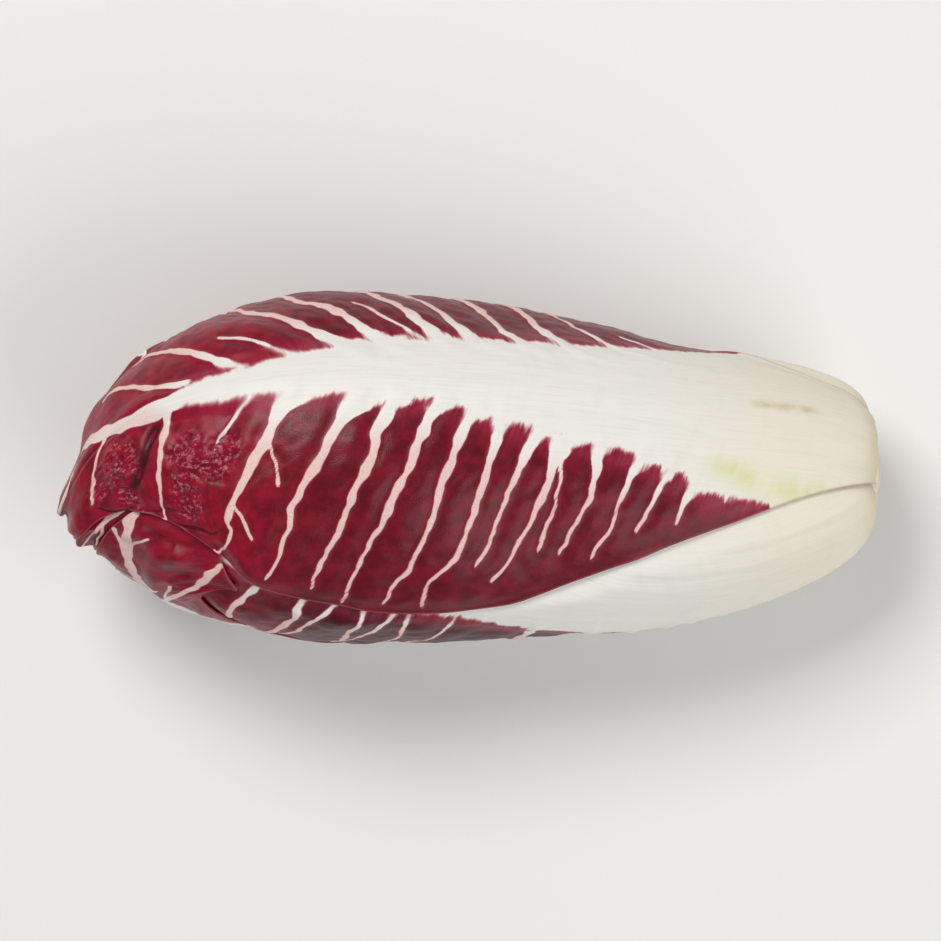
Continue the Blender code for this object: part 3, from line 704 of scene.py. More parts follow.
def vein_shape(leaf, number, along, across):
    """One vein: how far inside its edge each place is, its ridge, and the valley round it."""
    start, end, root, flared, path = leaf.veins[number]
    gap, place, run, turned = near_path(along, across, path)
    out = place - root
    share = np.clip(out / (run - root), 0, 1)
    half = end + (start - end) * (1 - share) ** 1.1
    half = half * (1 + UNEVEN * ripple(place, 0.0, UNEVEN_LENGTH, leaf.waves + UNEVEN_SEED + number))
    half = np.maximum(half, LEAST_VEIN) * smooth_step(0.0, VEIN_TAPER, run - place + VEIN_END)
    flare = 0.0
    if flared:
        base_side = turned * np.sign(path[-1][1] - path[0][1]) > 0
        beyond = np.maximum(out, 0)
        flare = FLARE * np.exp(-beyond / FLARE_LENGTH)
        flare = start * (flare + base_side * BASE_SIDE_FLARE * np.exp(-beyond / BASE_SIDE_FLARE_LENGTH))
    in_rib = smooth_step(-0.0005, -0.006, out)
    height = RIDGE * np.minimum(1, (half / FULL_RIDGE_AT) ** 0.8) * (1 - 0.75 * in_rib)
    ridge = height * hump(gap, half + RIDGE_MARGIN) * smooth_step(0, 0.004, place)
    valley = VALLEY * np.minimum(1, half / FULL_VALLEY_AT) * hump(gap, VALLEY_WIDTH)
    return half + flare - gap, ridge, valley * smooth_step(-0.001, 0.004, out)


def all_veins(leaf, along, across):
    """The three values of vein_shape, each at its greatest over all the leaf's veins."""
    for layers in VEIN_WOBBLES:
        along = along + leaf.layered(layers, along, across)
    across = across + leaf.layered(VEIN_SIDE_WOBBLE, along, across)
    greatest = np.zeros((3, *along.shape))
    greatest[0] = NO_VEIN
    for number, vein in enumerate(leaf.veins):
        low, high = vein[-1].min(axis=0) - VEIN_REACH, vein[-1].max(axis=0) + VEIN_REACH
        near = (along > low[0]) & (along < high[0]) & (across > low[1]) & (across < high[1])
        if near.any():
            shape = vein_shape(leaf, number, along[near], across[near])
            greatest[:, near] = np.maximum(greatest[:, near], shape)
    return greatest


def marked(marks, along, across, along_share, across_share):
    """Soft marks, from 0 to 1, whose lengths and widths follow the shares."""
    mark = np.zeros(along.shape)
    for a, b, size in marks:
        gap = np.hypot((along - a) * along_share, (across - b) * across_share)
        mark = np.maximum(mark, hump(gap, size))
    return mark


def vein_fields(leaf, share, across):
    """Where the veins, the folds, the crumpled patches and the marks are, for every point."""
    along = share * leaf.length
    vein, ridge, valley = all_veins(leaf, along, across)
    rib = leaf.from_rib(share, across)
    fold = np.zeros(share.shape)
    starts, ends = CREASE_TAPERS
    for depth, width, path in leaf.creases:
        gap, place, run, _ = near_path(along, across, path)
        taper = smooth_step(0, starts, place / run) * smooth_step(0, ends, 1 - place / run)
        fold = np.maximum(fold, depth * taper * hump(gap, width))
    crumpled = np.zeros(share.shape)
    whole, gone = PATCH_EDGE
    for a, b, size in leaf.patches:
        gap = np.hypot(along - a, across - b)
        crumpled = np.maximum(crumpled, 1 - smooth_step(whole * size, gone * size, gap))
    broken = crumpled + leaf.layered(BROKEN_UP, along, across)
    return {
        "ridge": ridge, "valley": valley, "fold": fold, "vein": vein, "rib": rib,
        "crumpled": smooth_step(0.15, 1.0, broken) * (crumpled > 0),
        "union": RIB_BLEND * np.logaddexp(rib / RIB_BLEND, vein / RIB_BLEND),
        "green": marked(leaf.green_marks, along, across, *GREEN_SHARES),
        "brown": marked(leaf.brown_marks, along, across, *BROWN_SHARES),
    }


def places(text):
    """The places in a text of x,y pairs, in the picture's own pixels."""
    return [tuple(float(number) for number in pair.split(",")) for pair in text.split()]


class Finder:
    """Finds the place on a leaf that is under a place in the picture, which looks straight down."""

    def __init__(self, leaf, layers, floor, shift):
        row, side = grid(SEARCHED_GRID)
        share, across, _, _ = leaf.lay_out(row, side)
        from_tip, turn, outer, _ = leaf.depths(layers, floor, row, side, NO_FIELDS)
        place = leaf.placed(from_tip, turn, outer) + shift
        up = np.sin(turn) > -0.05
        self.x, self.y, self.z = place[up].T
        self.along, self.across = (share * leaf.length)[up], across[up]

    def find(self, spot):
        """The topmost place there, or the nearest where none is near."""
        x = (spot[0] - PICTURE_MIDDLE[0]) * PICTURE_SCALE
        y = (PICTURE_MIDDLE[1] - spot[1]) * PICTURE_SCALE
        gap = np.hypot(self.x - x, self.y - y)
        near = gap < FOUND_WITHIN
        if near.any():
            near &= self.z > self.z[near].max() - FOUND_BELOW_TOP
        else:
            near = gap <= np.partition(gap, 3)[3]
        return float(self.along[near].mean()), float(self.across[near].mean())

    def path(self, text):
        return [self.find(spot) for spot in places(text)]

    def marks(self, read):
        """Marks read off the picture, as places on the leaf and sizes in metres."""
        return [(*self.find((x, y)), size * PICTURE_SCALE) for x, y, size in read]


def softened(path):
    """The path with its corners cut, so that it bends softly."""
    path = np.array(path)
    for _ in range(2):
        early, late = path[:-1] * 0.75 + path[1:] * 0.25, path[:-1] * 0.25 + path[1:] * 0.75
        middle = np.stack([early, late], axis=1).reshape(-1, 2)
        path = np.concatenate([path[:1], middle, path[-1:]])
    return path


def grown_veins(leaf, bare=None):
    """Side veins where the picture shows none: they leave the rib towards the tip, and fork."""
    rng = np.random.default_rng(leaf.waves)
    steps = np.linspace(GROWN_INSIDE, 1, GROWN_STEPS)
    veins = []
    for side in (-1, 1):
        low, high = (bare or {}).get(side, (2, 2))
        for number in range(GROWN_COUNT):
            place = max(0.0, number + rng.uniform(-0.25, 0.25)) / (GROWN_COUNT - 1)
            share = min(GROWN_FROM + GROWN_SPAN * place**1.25, GROWN_LAST)
            if low < share < high:
                rng.uniform(size=12)
                continue
            rib = leaf.rib_half_width(share)
            room = leaf.half_width(min(share + 0.06, 1.0), side) - rib
            lean = 0.30 + 0.45 * share**3 + rng.uniform(-0.05, 0.05)
            reach = room * rng.uniform(0.70, 0.96)
            out = np.where(steps > 0, rib + reach * steps, rib * (1 + 5 * steps))
            wobble = np.cumsum(rng.normal(0, GROWN_WOBBLE, len(steps)))
            ahead = share * leaf.length + lean * reach * np.sign(steps) * np.abs(steps) ** 1.25
            path = np.stack([ahead + wobble, side * out], axis=-1)
            width = GROWN_WIDTH * leaf.rib_depth * rng.uniform(0.75, 1.2) * (1 - 0.35 * share)
            veins.append((width, GROWN_END, GROWN_ROOT * rib, True, softened(path)))
            fork = rng.integers(4, 8)
            veer = rng.uniform(0.35, 0.6) * rng.choice([-1, 1])
            branch = path[fork:].copy()
            if len(branch) > 2:
                branch[:, 0] += veer * (np.abs(branch[:, 1]) - abs(branch[0, 1]))
                kept = branch[: 1 + len(branch) * 3 // 4]
                veins.append((BRANCH_WIDTH, BRANCH_END, 0.0, False, softened(kept)))
    return veins


def path_length(path):
    return float(np.hypot(*np.diff(np.array(path), axis=0).T).sum())


def carried_on(leaf, path):
    """The path, carried on to the leaf's edge where the picture no longer shows it."""
    c, d = path[-1]
    side = math.copysign(1, d)
    for step in range(1, 9):
        out = abs(d) + step * CARRY_ASIDE
        ahead = c + step * CARRY_AHEAD
        if out > leaf.half_width(min(ahead / leaf.length, 1), side) - CARRY_MARGIN:
            break
        path = [*path, (ahead, side * out)]
    return path


def read_veins(finder, leaf, table, flared=False):
    """Veins read off the picture; those that reach the outline go on to the leaf's edge."""
    veins = []
    for start, end, text in table:
        path = finder.path(text)
        last_row = places(text)[-1][1]
        root, root_length = [], 0.0
        flares = flared and start > LEAST_FLARED
        if flares:
            (a, b), (c, d) = path[:2]
            inner = (a - (c - a) * 0.5, b - (d - b) * 0.5)
            root = [(inner[0] - ROOT_BACK, inner[1] - math.copysign(ROOT_INWARDS, b)), inner]
            root_length = path_length(root + path[:1])
        if leaf.index == 2 and last_row > LOWER_OUTLINE_ROW:
            path = carried_on(leaf, path[:-1])
        elif flares and last_row < UPPER_OUTLINE_ROW:
            path = carried_on(leaf, path)
        half_widths = (start * START_WIDER / 1000, end * END_WIDER / 1000)
        veins.append((*half_widths, root_length, flares, softened(root + path)))
    return veins


def rib_edge(leaf, finder, text, bends_out):
    """An edge of the rib read off the picture, which bends out before its first place."""
    found = sorted((along / leaf.length, abs(across)) for along, across in finder.path(text))
    first, last = found[0], found[-1]
    found.insert(0, (first[0] - PAST_RIB_EDGE, first[1] + bends_out))
    found.append((last[0] + PAST_RIB_EDGE, last[1] - BENDS_IN))
    return np.array(found).T


def dress_leaf(leaf, layers, shift):
    """Gives the leaf its veins, and the outer ones what the picture shows."""
    if leaf.index > 2:
        leaf.veins = grown_veins(leaf)
        return
    finder = Finder(leaf, layers, leaf.floor, shift)
    if leaf.index == 0:
        above = math.copysign(1, finder.path(FIRST_RIB_ABOVE)[3][1])
        leaf.edges[above] = rib_edge(leaf, finder, FIRST_RIB_ABOVE, ABOVE_BENDS_OUT)
        leaf.edges[-above] = rib_edge(leaf, finder, FIRST_RIB_BELOW, BELOW_BENDS_OUT)
        leaf.veins = read_veins(finder, leaf, FIRST_LEAF_VEINS, flared=True)
        leaf.veins += read_veins(finder, leaf, (FIRST_RIB_END, *FIRST_TIP_VEINS))
        leaf.creases = [(d / 1000, w / 1000, softened(finder.path(text))) for d, w, text in CREASES]
        leaf.patches = finder.marks(CRUMPLED)
        leaf.green_marks = finder.marks(GREEN_MARKS)
        leaf.brown_marks = finder.marks(BROWN_MARKS)
    elif leaf.index == 1:
        leaf.veins = grown_veins(leaf, SECOND_LEAF_BARE)
        leaf.veins += read_veins(finder, leaf, (SECOND_RIB_END, *SECOND_LEAF_VEINS))
    else:
        leaf.veins = grown_veins(leaf, THIRD_LEAF_BARE) + read_veins(finder, leaf, THIRD_LEAF_VEINS)


def set_values(mesh, name, values):
    kind, field = ("FLOAT_VECTOR", "vector") if values.ndim == 2 else ("FLOAT", "value")
    made = mesh.attributes.new(name, kind, "POINT")
    made.data.foreach_set(field, values.astype(np.float32).ravel())


def quads(first, rows, columns, flip=False):
    """The faces of a grid of points, numbered row by row from the first."""
    start = first + np.arange(rows - 1)[:, None] * columns + np.arange(columns - 1)
    faces = np.stack([start, start + columns, start + columns + 1, start + 1], axis=-1).reshape(-1, 4)
    return faces[:, ::-1] if flip else faces


def surfaces(leaf, layers, row, side, fields):
    """The leaf's outer and inner surface, with its edge hanging down onto the leaf below."""
    share, across = leaf.spread(row, side)
    from_tip, turn, outer, inner = leaf.depths(layers, leaf.floor, row, side, fields)
    edge = np.minimum(leaf.half_width(share, across) - np.abs(across), (1 - share) * leaf.length)
    room = layers.read(leaf.below, from_tip, turn) - inner - TOUCHING
    near = smooth_step(DROOP_WIDTH, 0.0, edge) * smooth_step(-0.01, 0.02, share)
    droop = np.clip(room, 0, MOST_DROOP) * near
    return from_tip, turn, outer + droop, inner + droop


def rim_of(rows, columns):
    """The rows and columns of a grid's points along its edge, but for the base's."""
    rim = [(i, 0) for i in range(rows)]
    rim += [(rows - 1, j) for j in range(1, columns)]
    rim += [(i, columns - 1) for i in range(rows - 2, -1, -1)]
    return np.array(rim).T


def lip_bands(leaf, layers, rim, grids, charted):
    """The leaf's rounded edge: bands of places that go round it and in under the leaf."""
    row, side = (values[rim] for values in grids)
    from_tip, turn, outer, inner = (values[rim] for values in charted)
    bands = [leaf.placed(from_tip, turn, outer + (inner - outer) * share) for share in LIP_SHARES]
    for draw in LIP_DRAWS:
        drawn = (np.minimum(row, 1 - (1 - draw) * 0.2), side * draw)
        far_tip, far_turn, _, far_inner = surfaces(leaf, layers, *drawn, NO_FIELDS)
        bands.append(leaf.placed(far_tip, far_turn, far_inner))
    return np.stack(bands)


def leaf_mesh(leaf, size, rim, top, lip, inside, shift):
    """The mesh of the outer surface, the rounded edge and the inner surface."""
    points = np.concatenate([part.reshape(-1, 3) for part in (top, lip, inside)]) + shift
    points[:, 2] = np.maximum(points[:, 2], 0.0)
    lip_first = size[0] * size[1]
    lip_size = lip.shape[0] * lip.shape[1]
    rings = lip_first + np.arange(lip_size).reshape(lip.shape[:2])
    ring = np.concatenate([(rim[0] * size[1] + rim[1])[None, :], rings])
    corners = (ring[:-1, :-1], ring[1:, :-1], ring[1:, 1:], ring[:-1, 1:])
    lip_faces = np.stack(corners, axis=-1).reshape(-1, 4)
    inside_faces = quads(lip_first + lip_size, *INSIDE_MESH, flip=True)
    faces = np.concatenate([quads(0, *size), lip_faces, inside_faces])
    mesh = bpy.data.meshes.new(f"fine_leaf_{leaf.index + 1:02d}")
    mesh.from_pydata(points.tolist(), [], faces.tolist())
    mesh.shade_smooth()
    return mesh


def linked(mesh):
    piece = bpy.data.objects.new(mesh.name, mesh)
    bpy.context.scene.collection.objects.link(piece)
    return piece


def leaf_piece(leaf, layers, shift, size):
    """The fine leaf: its outer surface, its rounded edge, and a plainer inner surface."""
    row, side = grid(size)
    share, across = leaf.spread(row, side)
    fields = vein_fields(leaf, share, across)
    charted = surfaces(leaf, layers, row, side, fields)
    rim = tuple(rim_of(*size))
    lip = lip_bands(leaf, layers, rim, (row, side), charted)
    plain_row, plain_side = grid(INSIDE_MESH, *INSIDE_ENDS)
    in_tip, in_turn, _, in_depth = surfaces(leaf, layers, plain_row, plain_side, NO_FIELDS)
    top, inside = leaf.placed(*charted[:3]), leaf.placed(in_tip, in_turn, in_depth)
    mesh = leaf_mesh(leaf, size, rim, top, lip, inside, shift)

    plain_share, plain_across = leaf.spread(plain_row, plain_side)
    plain_fields = vein_fields(leaf, plain_share, plain_across)

    def everywhere(fine, plain):
        """A value for every point, where the lip has what the outer surface's edge has."""
        return np.concatenate([fine.ravel(), np.tile(fine[rim], len(lip)), plain.ravel()])

    all_share, all_across = everywhere(share, plain_share), everywhere(across, plain_across)
    for name in ("vein", "rib", "union", "fold"):
        set_values(mesh, name, everywhere(fields[name], plain_fields[name]) * 1000)
    for name in ("crumpled", "green", "brown"):
        set_values(mesh, name, everywhere(fields[name], plain_fields[name]))
    along = all_share * leaf.length
    slanted = along - SLANT * np.abs(all_across)
    for name, ahead, apart in (("flat", along, FLAT_APART), ("grain", slanted, GRAIN_APART)):
        own = np.full(along.shape, leaf.index * apart)
        set_values(mesh, name, np.stack([ahead, all_across, own], axis=-1) * 1000)
    # How much painted shade darkens this leaf's red
    set_values(mesh, "painted_shade", np.full(along.shape, leaf.painted_shade))
    edge = leaf.half_width(all_share, all_across) - np.abs(all_across)
    set_values(mesh, "edge", edge * 1000)
    return linked(mesh)


def note_leaf(leaf, layers):
    """Marks on the map the room that the leaf takes, and keeps the map of its outer surface."""
    row, side = grid(NOTED_GRID)
    from_tip, turn, outer, inner = leaf.depths(layers, leaf.floor, row, side, NO_FIELDS)
    layers.fill(from_tip, turn, inner + LEAF_GAP - RELIEF_ROOM)
    leaf.surface = layers.mapped(from_tip, turn, outer)


class Nodes:
    """Short ways to build a material's nodes."""

    def __init__(self, name):
        self.material = bpy.data.materials.new(name)
        self.material.use_nodes = True
        self.tree = self.material.node_tree
        self.shader = self.tree.nodes["Principled BSDF"]

    def link(self, value, socket):
        if isinstance(value, bpy.types.NodeSocket):
            self.tree.links.new(value, socket)
        else:
            socket.default_value = value

    def attribute(self, name, vector=False):
        node = self.tree.nodes.new("ShaderNodeAttribute")
        node.attribute_name = name
        return node.outputs["Vector" if vector else "Fac"]

    def math(self, kind, a, b=0.0):
        node = self.tree.nodes.new("ShaderNodeMath")
        node.operation = kind
        self.link(a, node.inputs[0])
        self.link(b, node.inputs[1])
        return node.outputs[0]

    def ramp(self, value, low, high, start=0.0, end=1.0):
        node = self.tree.nodes.new("ShaderNodeMapRange")
        node.interpolation_type = "SMOOTHSTEP"
        for place, number in enumerate((value, low, high, start, end)):
            self.link(number, node.inputs[place])
        return node.outputs[0]

    def scaled(self, vector, scale):
        node = self.tree.nodes.new("ShaderNodeVectorMath")
        node.operation = "MULTIPLY"
        self.link(vector, node.inputs[0])
        node.inputs[1].default_value = scale
        return node.outputs[0]

    def noise(self, vector, scale, detail=2.0, roughness=0.5):
        node = self.tree.nodes.new("ShaderNodeTexNoise")
        self.link(vector, node.inputs["Vector"])
        node.inputs["Scale"].default_value = scale
        node.inputs["Detail"].default_value = detail
        node.inputs["Roughness"].default_value = roughness
        return node.outputs["Fac"]

    def mix(self, share, first, second):
        """A share of the second colour over the first. A colour is a name or another node's."""
        node = self.tree.nodes.new("ShaderNodeMix")
        node.data_type = "RGBA"
        self.link(share, node.inputs["Factor"])
        for place, tint in ((6, first), (7, second)):
            self.link(colour(tint) if isinstance(tint, str) else tint, node.inputs[place])
        return node.outputs[2]

    def times(self, a, b):
        return self.math("MULTIPLY", a, b)

    def plus(self, a, b):
        return self.math("ADD", a, b)

    def centred(self, noise, amount):
        """The noise, moved so that it swings round 0, times the amount."""
        return self.times(self.math("SUBTRACT", noise, 0.5), amount)

    def tinted(self, base, *layers):
        """The base colour with layers of (share, colour) over it."""
        for share, tint in layers:
            base = self.mix(share, base, tint)
        return base

    def flesh(self, weight, radius, scale):
        """Lets a little light into the surface."""
        for name, value in (("Weight", weight), ("Radius", radius), ("Scale", scale)):
            self.shader.inputs[f"Subsurface {name}"].default_value = value

    def bump(self, height, strength, distance):
        node = self.tree.nodes.new("ShaderNodeBump")
        node.inputs["Strength"].default_value = strength
        node.inputs["Distance"].default_value = distance
        self.link(height, node.inputs["Height"])
        self.link(node.outputs[0], self.shader.inputs["Normal"])


def colour(name):
    """The linear colour of a named screen colour."""
    parts = [part / 255 for part in COLOURS[name]]
    return (*(((c + 0.055) / 1.055) ** 2.4 if c > 0.04045 else c / 12.92 for c in parts), 1.0)


def leaf_patterns(n):
    """What a leaf's colours follow: distances in millimetres, shares, and noises over the leaf."""
    names = ("rib", "vein", "union", "edge", "fold", "crumpled", "painted_shade", "green", "brown")
    p = SimpleNamespace(**{name: n.attribute(name) for name in names})
    flat, grain = n.attribute("flat", True), n.attribute("grain", True)
    parts = n.tree.nodes.new("ShaderNodeSeparateXYZ")
    n.link(flat, parts.inputs[0])
    p.along = parts.outputs[0]
    p.broad = n.noise(n.scaled(grain, (0.30, 0.10, 1.0)), 1.0, 2.0)
    p.streak = n.noise(n.scaled(grain, (1.0, 0.20, 1.0)), 1.0, 4.0, 0.62)
    p.fine = n.noise(flat, 2.4, 3.0, 0.6)
    p.fibre = n.noise(n.scaled(flat, (0.10, 2.2, 1.0)), 1.0, 3.0, 0.55)
    p.mottle = n.noise(flat, 0.28, 4.0, 0.6)
    p.cells = n.noise(flat, 4.0, 2.0, 0.5)
    # Where the painted glints fall on the crumpled patches
    p.flecks = n.noise(n.scaled(flat, (0.8, 1.0, 1.0)), 1.0, 3.0, 0.6)
    p.blisters = n.noise(n.scaled(flat, (0.9, 1.1, 1.0)), 1.0, 2.0, 0.5)
    return p


def pale_share(n, p):
    """How pale each place is: 1 on the rib and the veins, with feathered edges."""
    near_rib = n.ramp(p.rib, -5.0, -0.3)
    shift = n.centred(p.broad, n.times(near_rib, 2.0))
    feathered = n.times(near_rib, n.ramp(p.along, 100.0, 122.0, 3.0, 0.9))
    feather, ragged = n.centred(p.streak, feathered), n.centred(p.fine, 0.20)
    reached = n.plus(n.plus(p.union, shift), n.plus(feather, ragged))
    soft = n.ramp(near_rib, 0.0, 1.0, 0.22, 0.90)
    return n.ramp(n.math("DIVIDE", reached, soft), -1.1, 0.9)


def blade_colour(n, p):
    """Dark red with cells and streaks, pinker by the rib, rosy at the tip, darker with painted shade on
    the leaves under the first one, with painted glints on the crumpled patches and painted shade in the
    folds.
    """
    pinker = n.times(n.ramp(p.rib, -6.5, 0.0), n.ramp(p.streak, 0.30, 0.60, 0.25, 0.85))
    rosy = n.times(n.ramp(p.along, 112.0, 140.0), n.ramp(p.mottle, 0.36, 0.62, 0.25, 0.8))
    return n.tinted(
        n.mix(n.ramp(p.mottle, 0.38, 0.66), "blade", "lighter blade"),
        (n.ramp(p.cells, 0.45, 0.75, 0.0, 0.30), "cells"),
        (n.ramp(p.streak, 0.50, 0.72, 0.0, 0.25), "streaks"),
        # Painted shade on the leaves that lie under the first one
        (p.painted_shade, "blade in painted shade"),
        (pinker, "near the rib"),
        (n.ramp(p.vein, -1.0, 0.0, 0.0, 0.35), "near a vein"),
        (rosy, "rosy tip"),
        # Painted glints on the crumpled patches
        (n.times(p.crumpled, n.ramp(p.flecks, 0.50, 0.66, 0.0, 0.55)), "flecks"),
        # Painted shade in the creases
        (n.ramp(p.fold, 0.08, 0.6, 0.0, 0.75), "folds"),
    )


def rib_colour(n, p):
    """White, creamier towards the foot, with fibres and with green and brown marks."""
    return n.tinted(
        n.mix(n.ramp(p.along, 10.0, 62.0), "lower rib", "upper rib"),
        (n.ramp(p.along, 0.5, 9.0, 1.0, 0.0), "rib's foot"),
        (n.ramp(p.fibre, 0.40, 0.75, 0.0, 0.28), "fibres"),
        (n.ramp(p.broad, 0.50, 0.80, 0.0, 0.18), "rib's shade"),
        (n.times(p.green, n.ramp(p.broad, 0.25, 0.75, 0.15, 0.75)), "green marks"),
        (n.times(p.brown, n.ramp(p.mottle, 0.30, 0.60, 0.15, 0.60)), "brown marks"),
    )


def leaf_material():
    n = Nodes("endive_leaf")
    p = leaf_patterns(n)
    pale = pale_share(n, p)
    in_blade = n.ramp(p.rib, -3.0, -13.0)
    veins = n.mix(n.ramp(p.fine, 0.40, 0.75), "veins", "darker veins")
    skin = n.tinted(
        blade_colour(n, p),
        (n.ramp(pale, 0.0, 0.62), n.mix(in_blade, "rib's edge", "veins' edge")),
        (n.ramp(pale, 0.35, 1.0), n.mix(in_blade, rib_colour(n, p), veins)),
        (n.ramp(p.edge, 0.50, 0.1, 0.0, 0.30), "leaf's edge"),
    )
    n.link(skin, n.shader.inputs["Base Color"])
    n.shader.inputs["Specular IOR Level"].default_value = 0.25
    rough = n.math("SUBTRACT", n.ramp(pale, 0.0, 1.0, 0.33, 0.45), n.times(p.crumpled, 0.17))
    n.link(n.plus(rough, n.centred(p.mottle, 0.14)), n.shader.inputs["Roughness"])
    n.flesh(0.10, (1.0, 0.45, 0.35), 0.0014)
    fibrous = n.times(p.fibre, n.ramp(pale, 0.0, 1.0, 0.0, 0.6))
    leathery = n.times(p.cells, n.ramp(pale, 0.0, 1.0, 0.9, 0.15))
    blistered = n.times(n.times(p.blisters, p.crumpled), 5.0)
    n.bump(n.plus(n.plus(fibrous, leathery), blistered), 0.30, 0.00020)
    return n.material


def foot_material():
    n = Nodes("cut_stem")
    spot = n.attribute("spot", True)
    fine = n.noise(spot, 1.4, 4.0, 0.6)
    broad = n.noise(spot, 0.35, 2.0)
    cut_face = n.tinted(
        n.mix(n.ramp(broad, 0.35, 0.7), "cut", "browner cut"),
        (n.ramp(fine, 0.45, 0.8, 0.0, 0.5), "cut's spots"),
        (n.attribute("groove"), "grooves"),
    )
    n.link(n.mix(n.attribute("cut"), "stem", cut_face), n.shader.inputs["Base Color"])
    n.shader.inputs["Roughness"].default_value = 0.6
    n.flesh(0.12, (1.0, 0.5, 0.3), 0.0016)
    n.bump(fine, 0.5, 0.0003)
    return n.material


def foot_rim(leaves, layers, turns):
    """How far out the outer leaves' ends stand round the foot, at each turn."""
    around = np.full(turns.shape, np.nan)
    for leaf in leaves[:FLUSH_LEAVES]:
        row, side = grid((2, 160), 0.01, 0.98)
        from_tip, turn, _, inner = surfaces(leaf, layers, row, side, NO_FIELDS)
        place = leaf.form.point(from_tip, turn, inner)
        radius = np.hypot(place[..., 1], place[..., 2]).max(axis=0)
        bins = np.rint((turn[0] / math.tau) % 1 * (len(turns) - 1)).astype(int)
        np.fmax.at(around, bins, radius)
    known = np.isfinite(around)
    around = np.interp(turns, turns[known], around[known], period=math.tau)
    wide = np.concatenate([around[-RIM_AVERAGED:], around, around[:RIM_AVERAGED]])
    average = np.full(RIM_AVERAGED, 1 / RIM_AVERAGED)
    return np.convolve(wide, average, "same")[RIM_AVERAGED:-RIM_AVERAGED]


def foot_grooves(radius, turned, y, z):
    """The arcs in the cut where the leaves part, from 0 to 1."""
    groove = np.zeros(y.shape)
    warp = 0.0005 * bumps(y, z, 0.0032, SEED + 2)
    broken = 0.55 + 0.45 * bumps(y, z, 0.003, SEED + 3)
    for index in range(GROOVES):
        middle = FIRST_LEAF_TURN + index * DIVERGENCE
        reach = GROOVE_RADIUS - index * GROOVE_STEP
        apart = np.abs((turned - middle + math.pi) % math.tau - math.pi)
        ring = reach - GROOVE_BEND * (apart / 1.1) ** 2 + warp
        line = hump(radius - ring, GROOVE_WIDTH) * smooth_step(1.30, 0.7, apart)
        groove = np.maximum(groove, line * broken)
    return np.clip(groove, 0, 1)


def foot_piece(leaves, layers, shift):
    """The cut stem: an uneven cut face with the bases of the leaves in it, and the cone above."""
    turn = np.arange(FOOT_SPOKES + 1) * math.tau / FOOT_SPOKES
    rim = foot_rim(leaves, layers, turn) + RIM_MARGIN
    rim[-1] = rim[0]
    profile = [(0.0, 0.90 * share, 1.0) for share in np.linspace(0.01, 1.0, CUT_RINGS)]
    profile += FOOT_EDGE
    profile += [(height, min(radius / CORE_RADIUS, 0.97), 0.0) for height, radius in CORE_OUTLINE[3:]]
    height, share, cut = (np.array(column)[:, None] for column in zip(*profile))
    turned = turn[None, :]
    inwards = smooth_step(0.004, 0.0022, height)
    radius = share * (rim[None, :] * inwards + CORE_RADIUS * (1 - inwards))
    y, z = radius * np.cos(turned), radius * np.sin(turned)
    groove = foot_grooves(radius, turned, y, z) * cut
    uneven = 0.00016 * bumps(y, z, 0.0045, SEED) + 0.00008 * bumps(y, z, 0.0015, SEED + 1)
    lifted = uneven * smooth_step(0, 0.5, cut) + GROOVE_DEPTH * groove
    placed = lay_down(np.stack([-(height + CUT_HEIGHT + lifted), y, z], axis=-1)) + shift
    mesh = bpy.data.meshes.new("fine_stem")
    faces = quads(0, len(profile), FOOT_SPOKES + 1).tolist()
    faces.append(tuple(range(FOOT_SPOKES)))
    mesh.from_pydata(placed.reshape(-1, 3).tolist(), [], faces)
    mesh.shade_smooth()
    spot = np.stack([y, z, np.broadcast_to(height, y.shape)], axis=-1)
    set_values(mesh, "spot", spot.reshape(-1, 3) * 1000)
    set_values(mesh, "cut", np.broadcast_to(cut, y.shape).ravel())
    set_values(mesh, "groove", groove.ravel() * 0.7)
    return linked(mesh)


def area_light(name, place, side, power, tint):
    light = bpy.data.objects.new(name, bpy.data.lights.new(name, "AREA"))
    light.data.shape = "RECTANGLE"
    light.data.size = light.data.size_y = side
    light.data.energy = power
    light.data.color = tint
    light.location = place
    light.rotation_euler = (Vector(LIT_PLACE) - Vector(place)).to_track_quat("-Z", "Y").to_euler()
    bpy.context.scene.collection.objects.link(light)


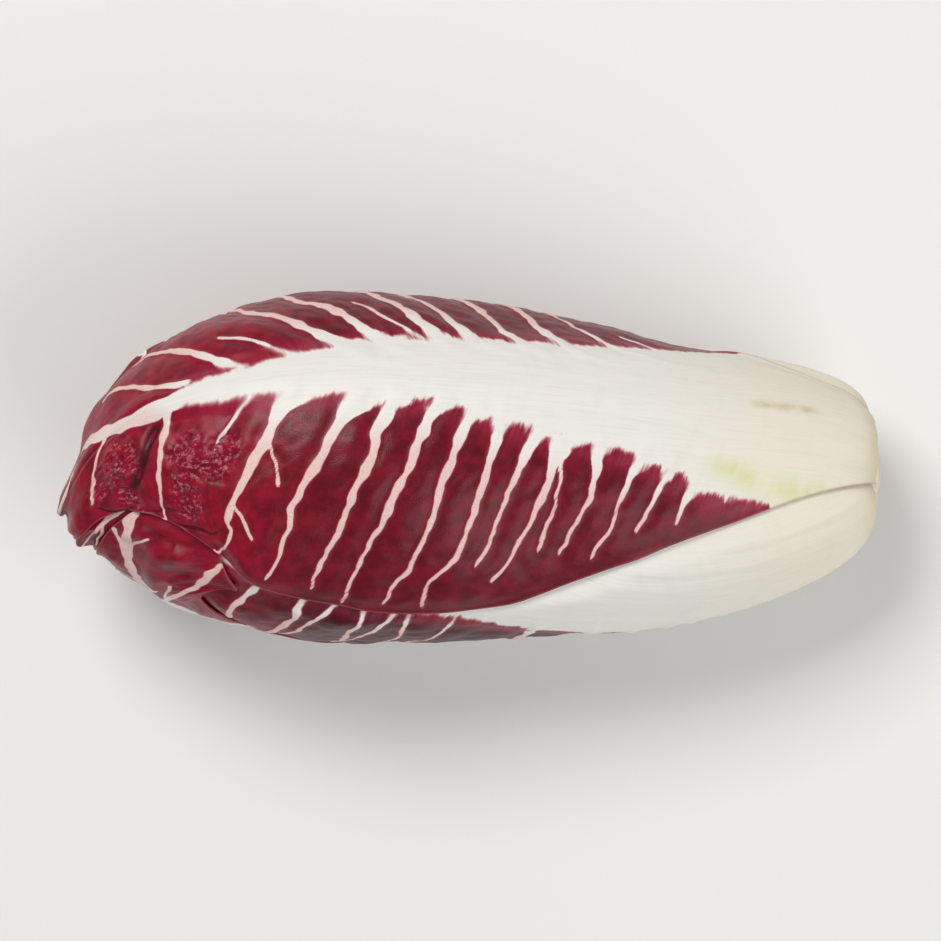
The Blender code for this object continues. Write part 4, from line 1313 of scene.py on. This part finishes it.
def build_floor():
    plane = bpy.data.meshes.new("floor")
    corners = [(FLOOR_REACH * x, FLOOR_REACH * y, 0) for x, y in ((-1, -1), (1, -1), (1, 1), (-1, 1))]
    plane.from_pydata(corners, [], [(0, 1, 2, 3)])
    floor = linked(plane)
    n = Nodes("pale_floor")
    n.shader.inputs["Base Color"].default_value = FLOOR_COLOUR
    n.shader.inputs["Roughness"].default_value = 0.9
    n.shader.inputs["Specular IOR Level"].default_value = 0.2
    plane.materials.append(n.material)


def build_room():
    for name, (place, side, power, tint) in LIGHTS.items():
        area_light(name, place, side, power, tint)
    world = bpy.data.worlds.new("room")
    world.use_nodes = True
    world.node_tree.nodes["Background"].inputs[0].default_value = ROOM_COLOUR
    world.node_tree.nodes["Background"].inputs[1].default_value = ROOM_POWER
    bpy.context.scene.world = world
    bpy.context.scene.view_settings.view_transform = "Standard"


def build_camera():
    """The camera looks straight down, as in the picture."""
    camera = bpy.data.objects.new("camera", bpy.data.cameras.new("camera"))
    camera.data.lens = CAMERA_LENS
    camera.data.sensor_width = CAMERA_SENSOR
    camera.data.clip_start = CAMERA_NEAR
    camera.data.dof.use_dof = False
    camera.location = (0.0, 0.0, CAMERA_HEIGHT)
    camera.rotation_euler = (0, 0, 0)
    bpy.context.scene.collection.objects.link(camera)
    bpy.context.scene.camera = camera


def build_head():
    form = HeadForm()
    layers = Layers(form)
    shift = solids_shift()
    skin = leaf_material()
    leaves = [Leaf(index, form) for index in range(LEAF_COUNT)]
    for leaf in leaves:
        leaf.floor = layers.floor_for_next().copy()
        dress_leaf(leaf, layers, shift)
        note_leaf(leaf, layers)
    for leaf in leaves:
        leaf.below = layers.joined([other.surface for other in leaves[leaf.index + 1 :]])
        size = next(mesh for mesh, until in FINE_MESHES if leaf.index < until)
        piece = leaf_piece(leaf, layers, shift, size)
        piece.data.materials.append(skin)
        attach(piece, "root")
        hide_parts(f"leaf_{leaf.index + 1:02d}")
    foot = foot_piece(leaves, layers, shift)
    foot.data.materials.append(foot_material())
    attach(foot, "root")
    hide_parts("stem_core")


build_floor()
build_room()
build_camera()
build_head()
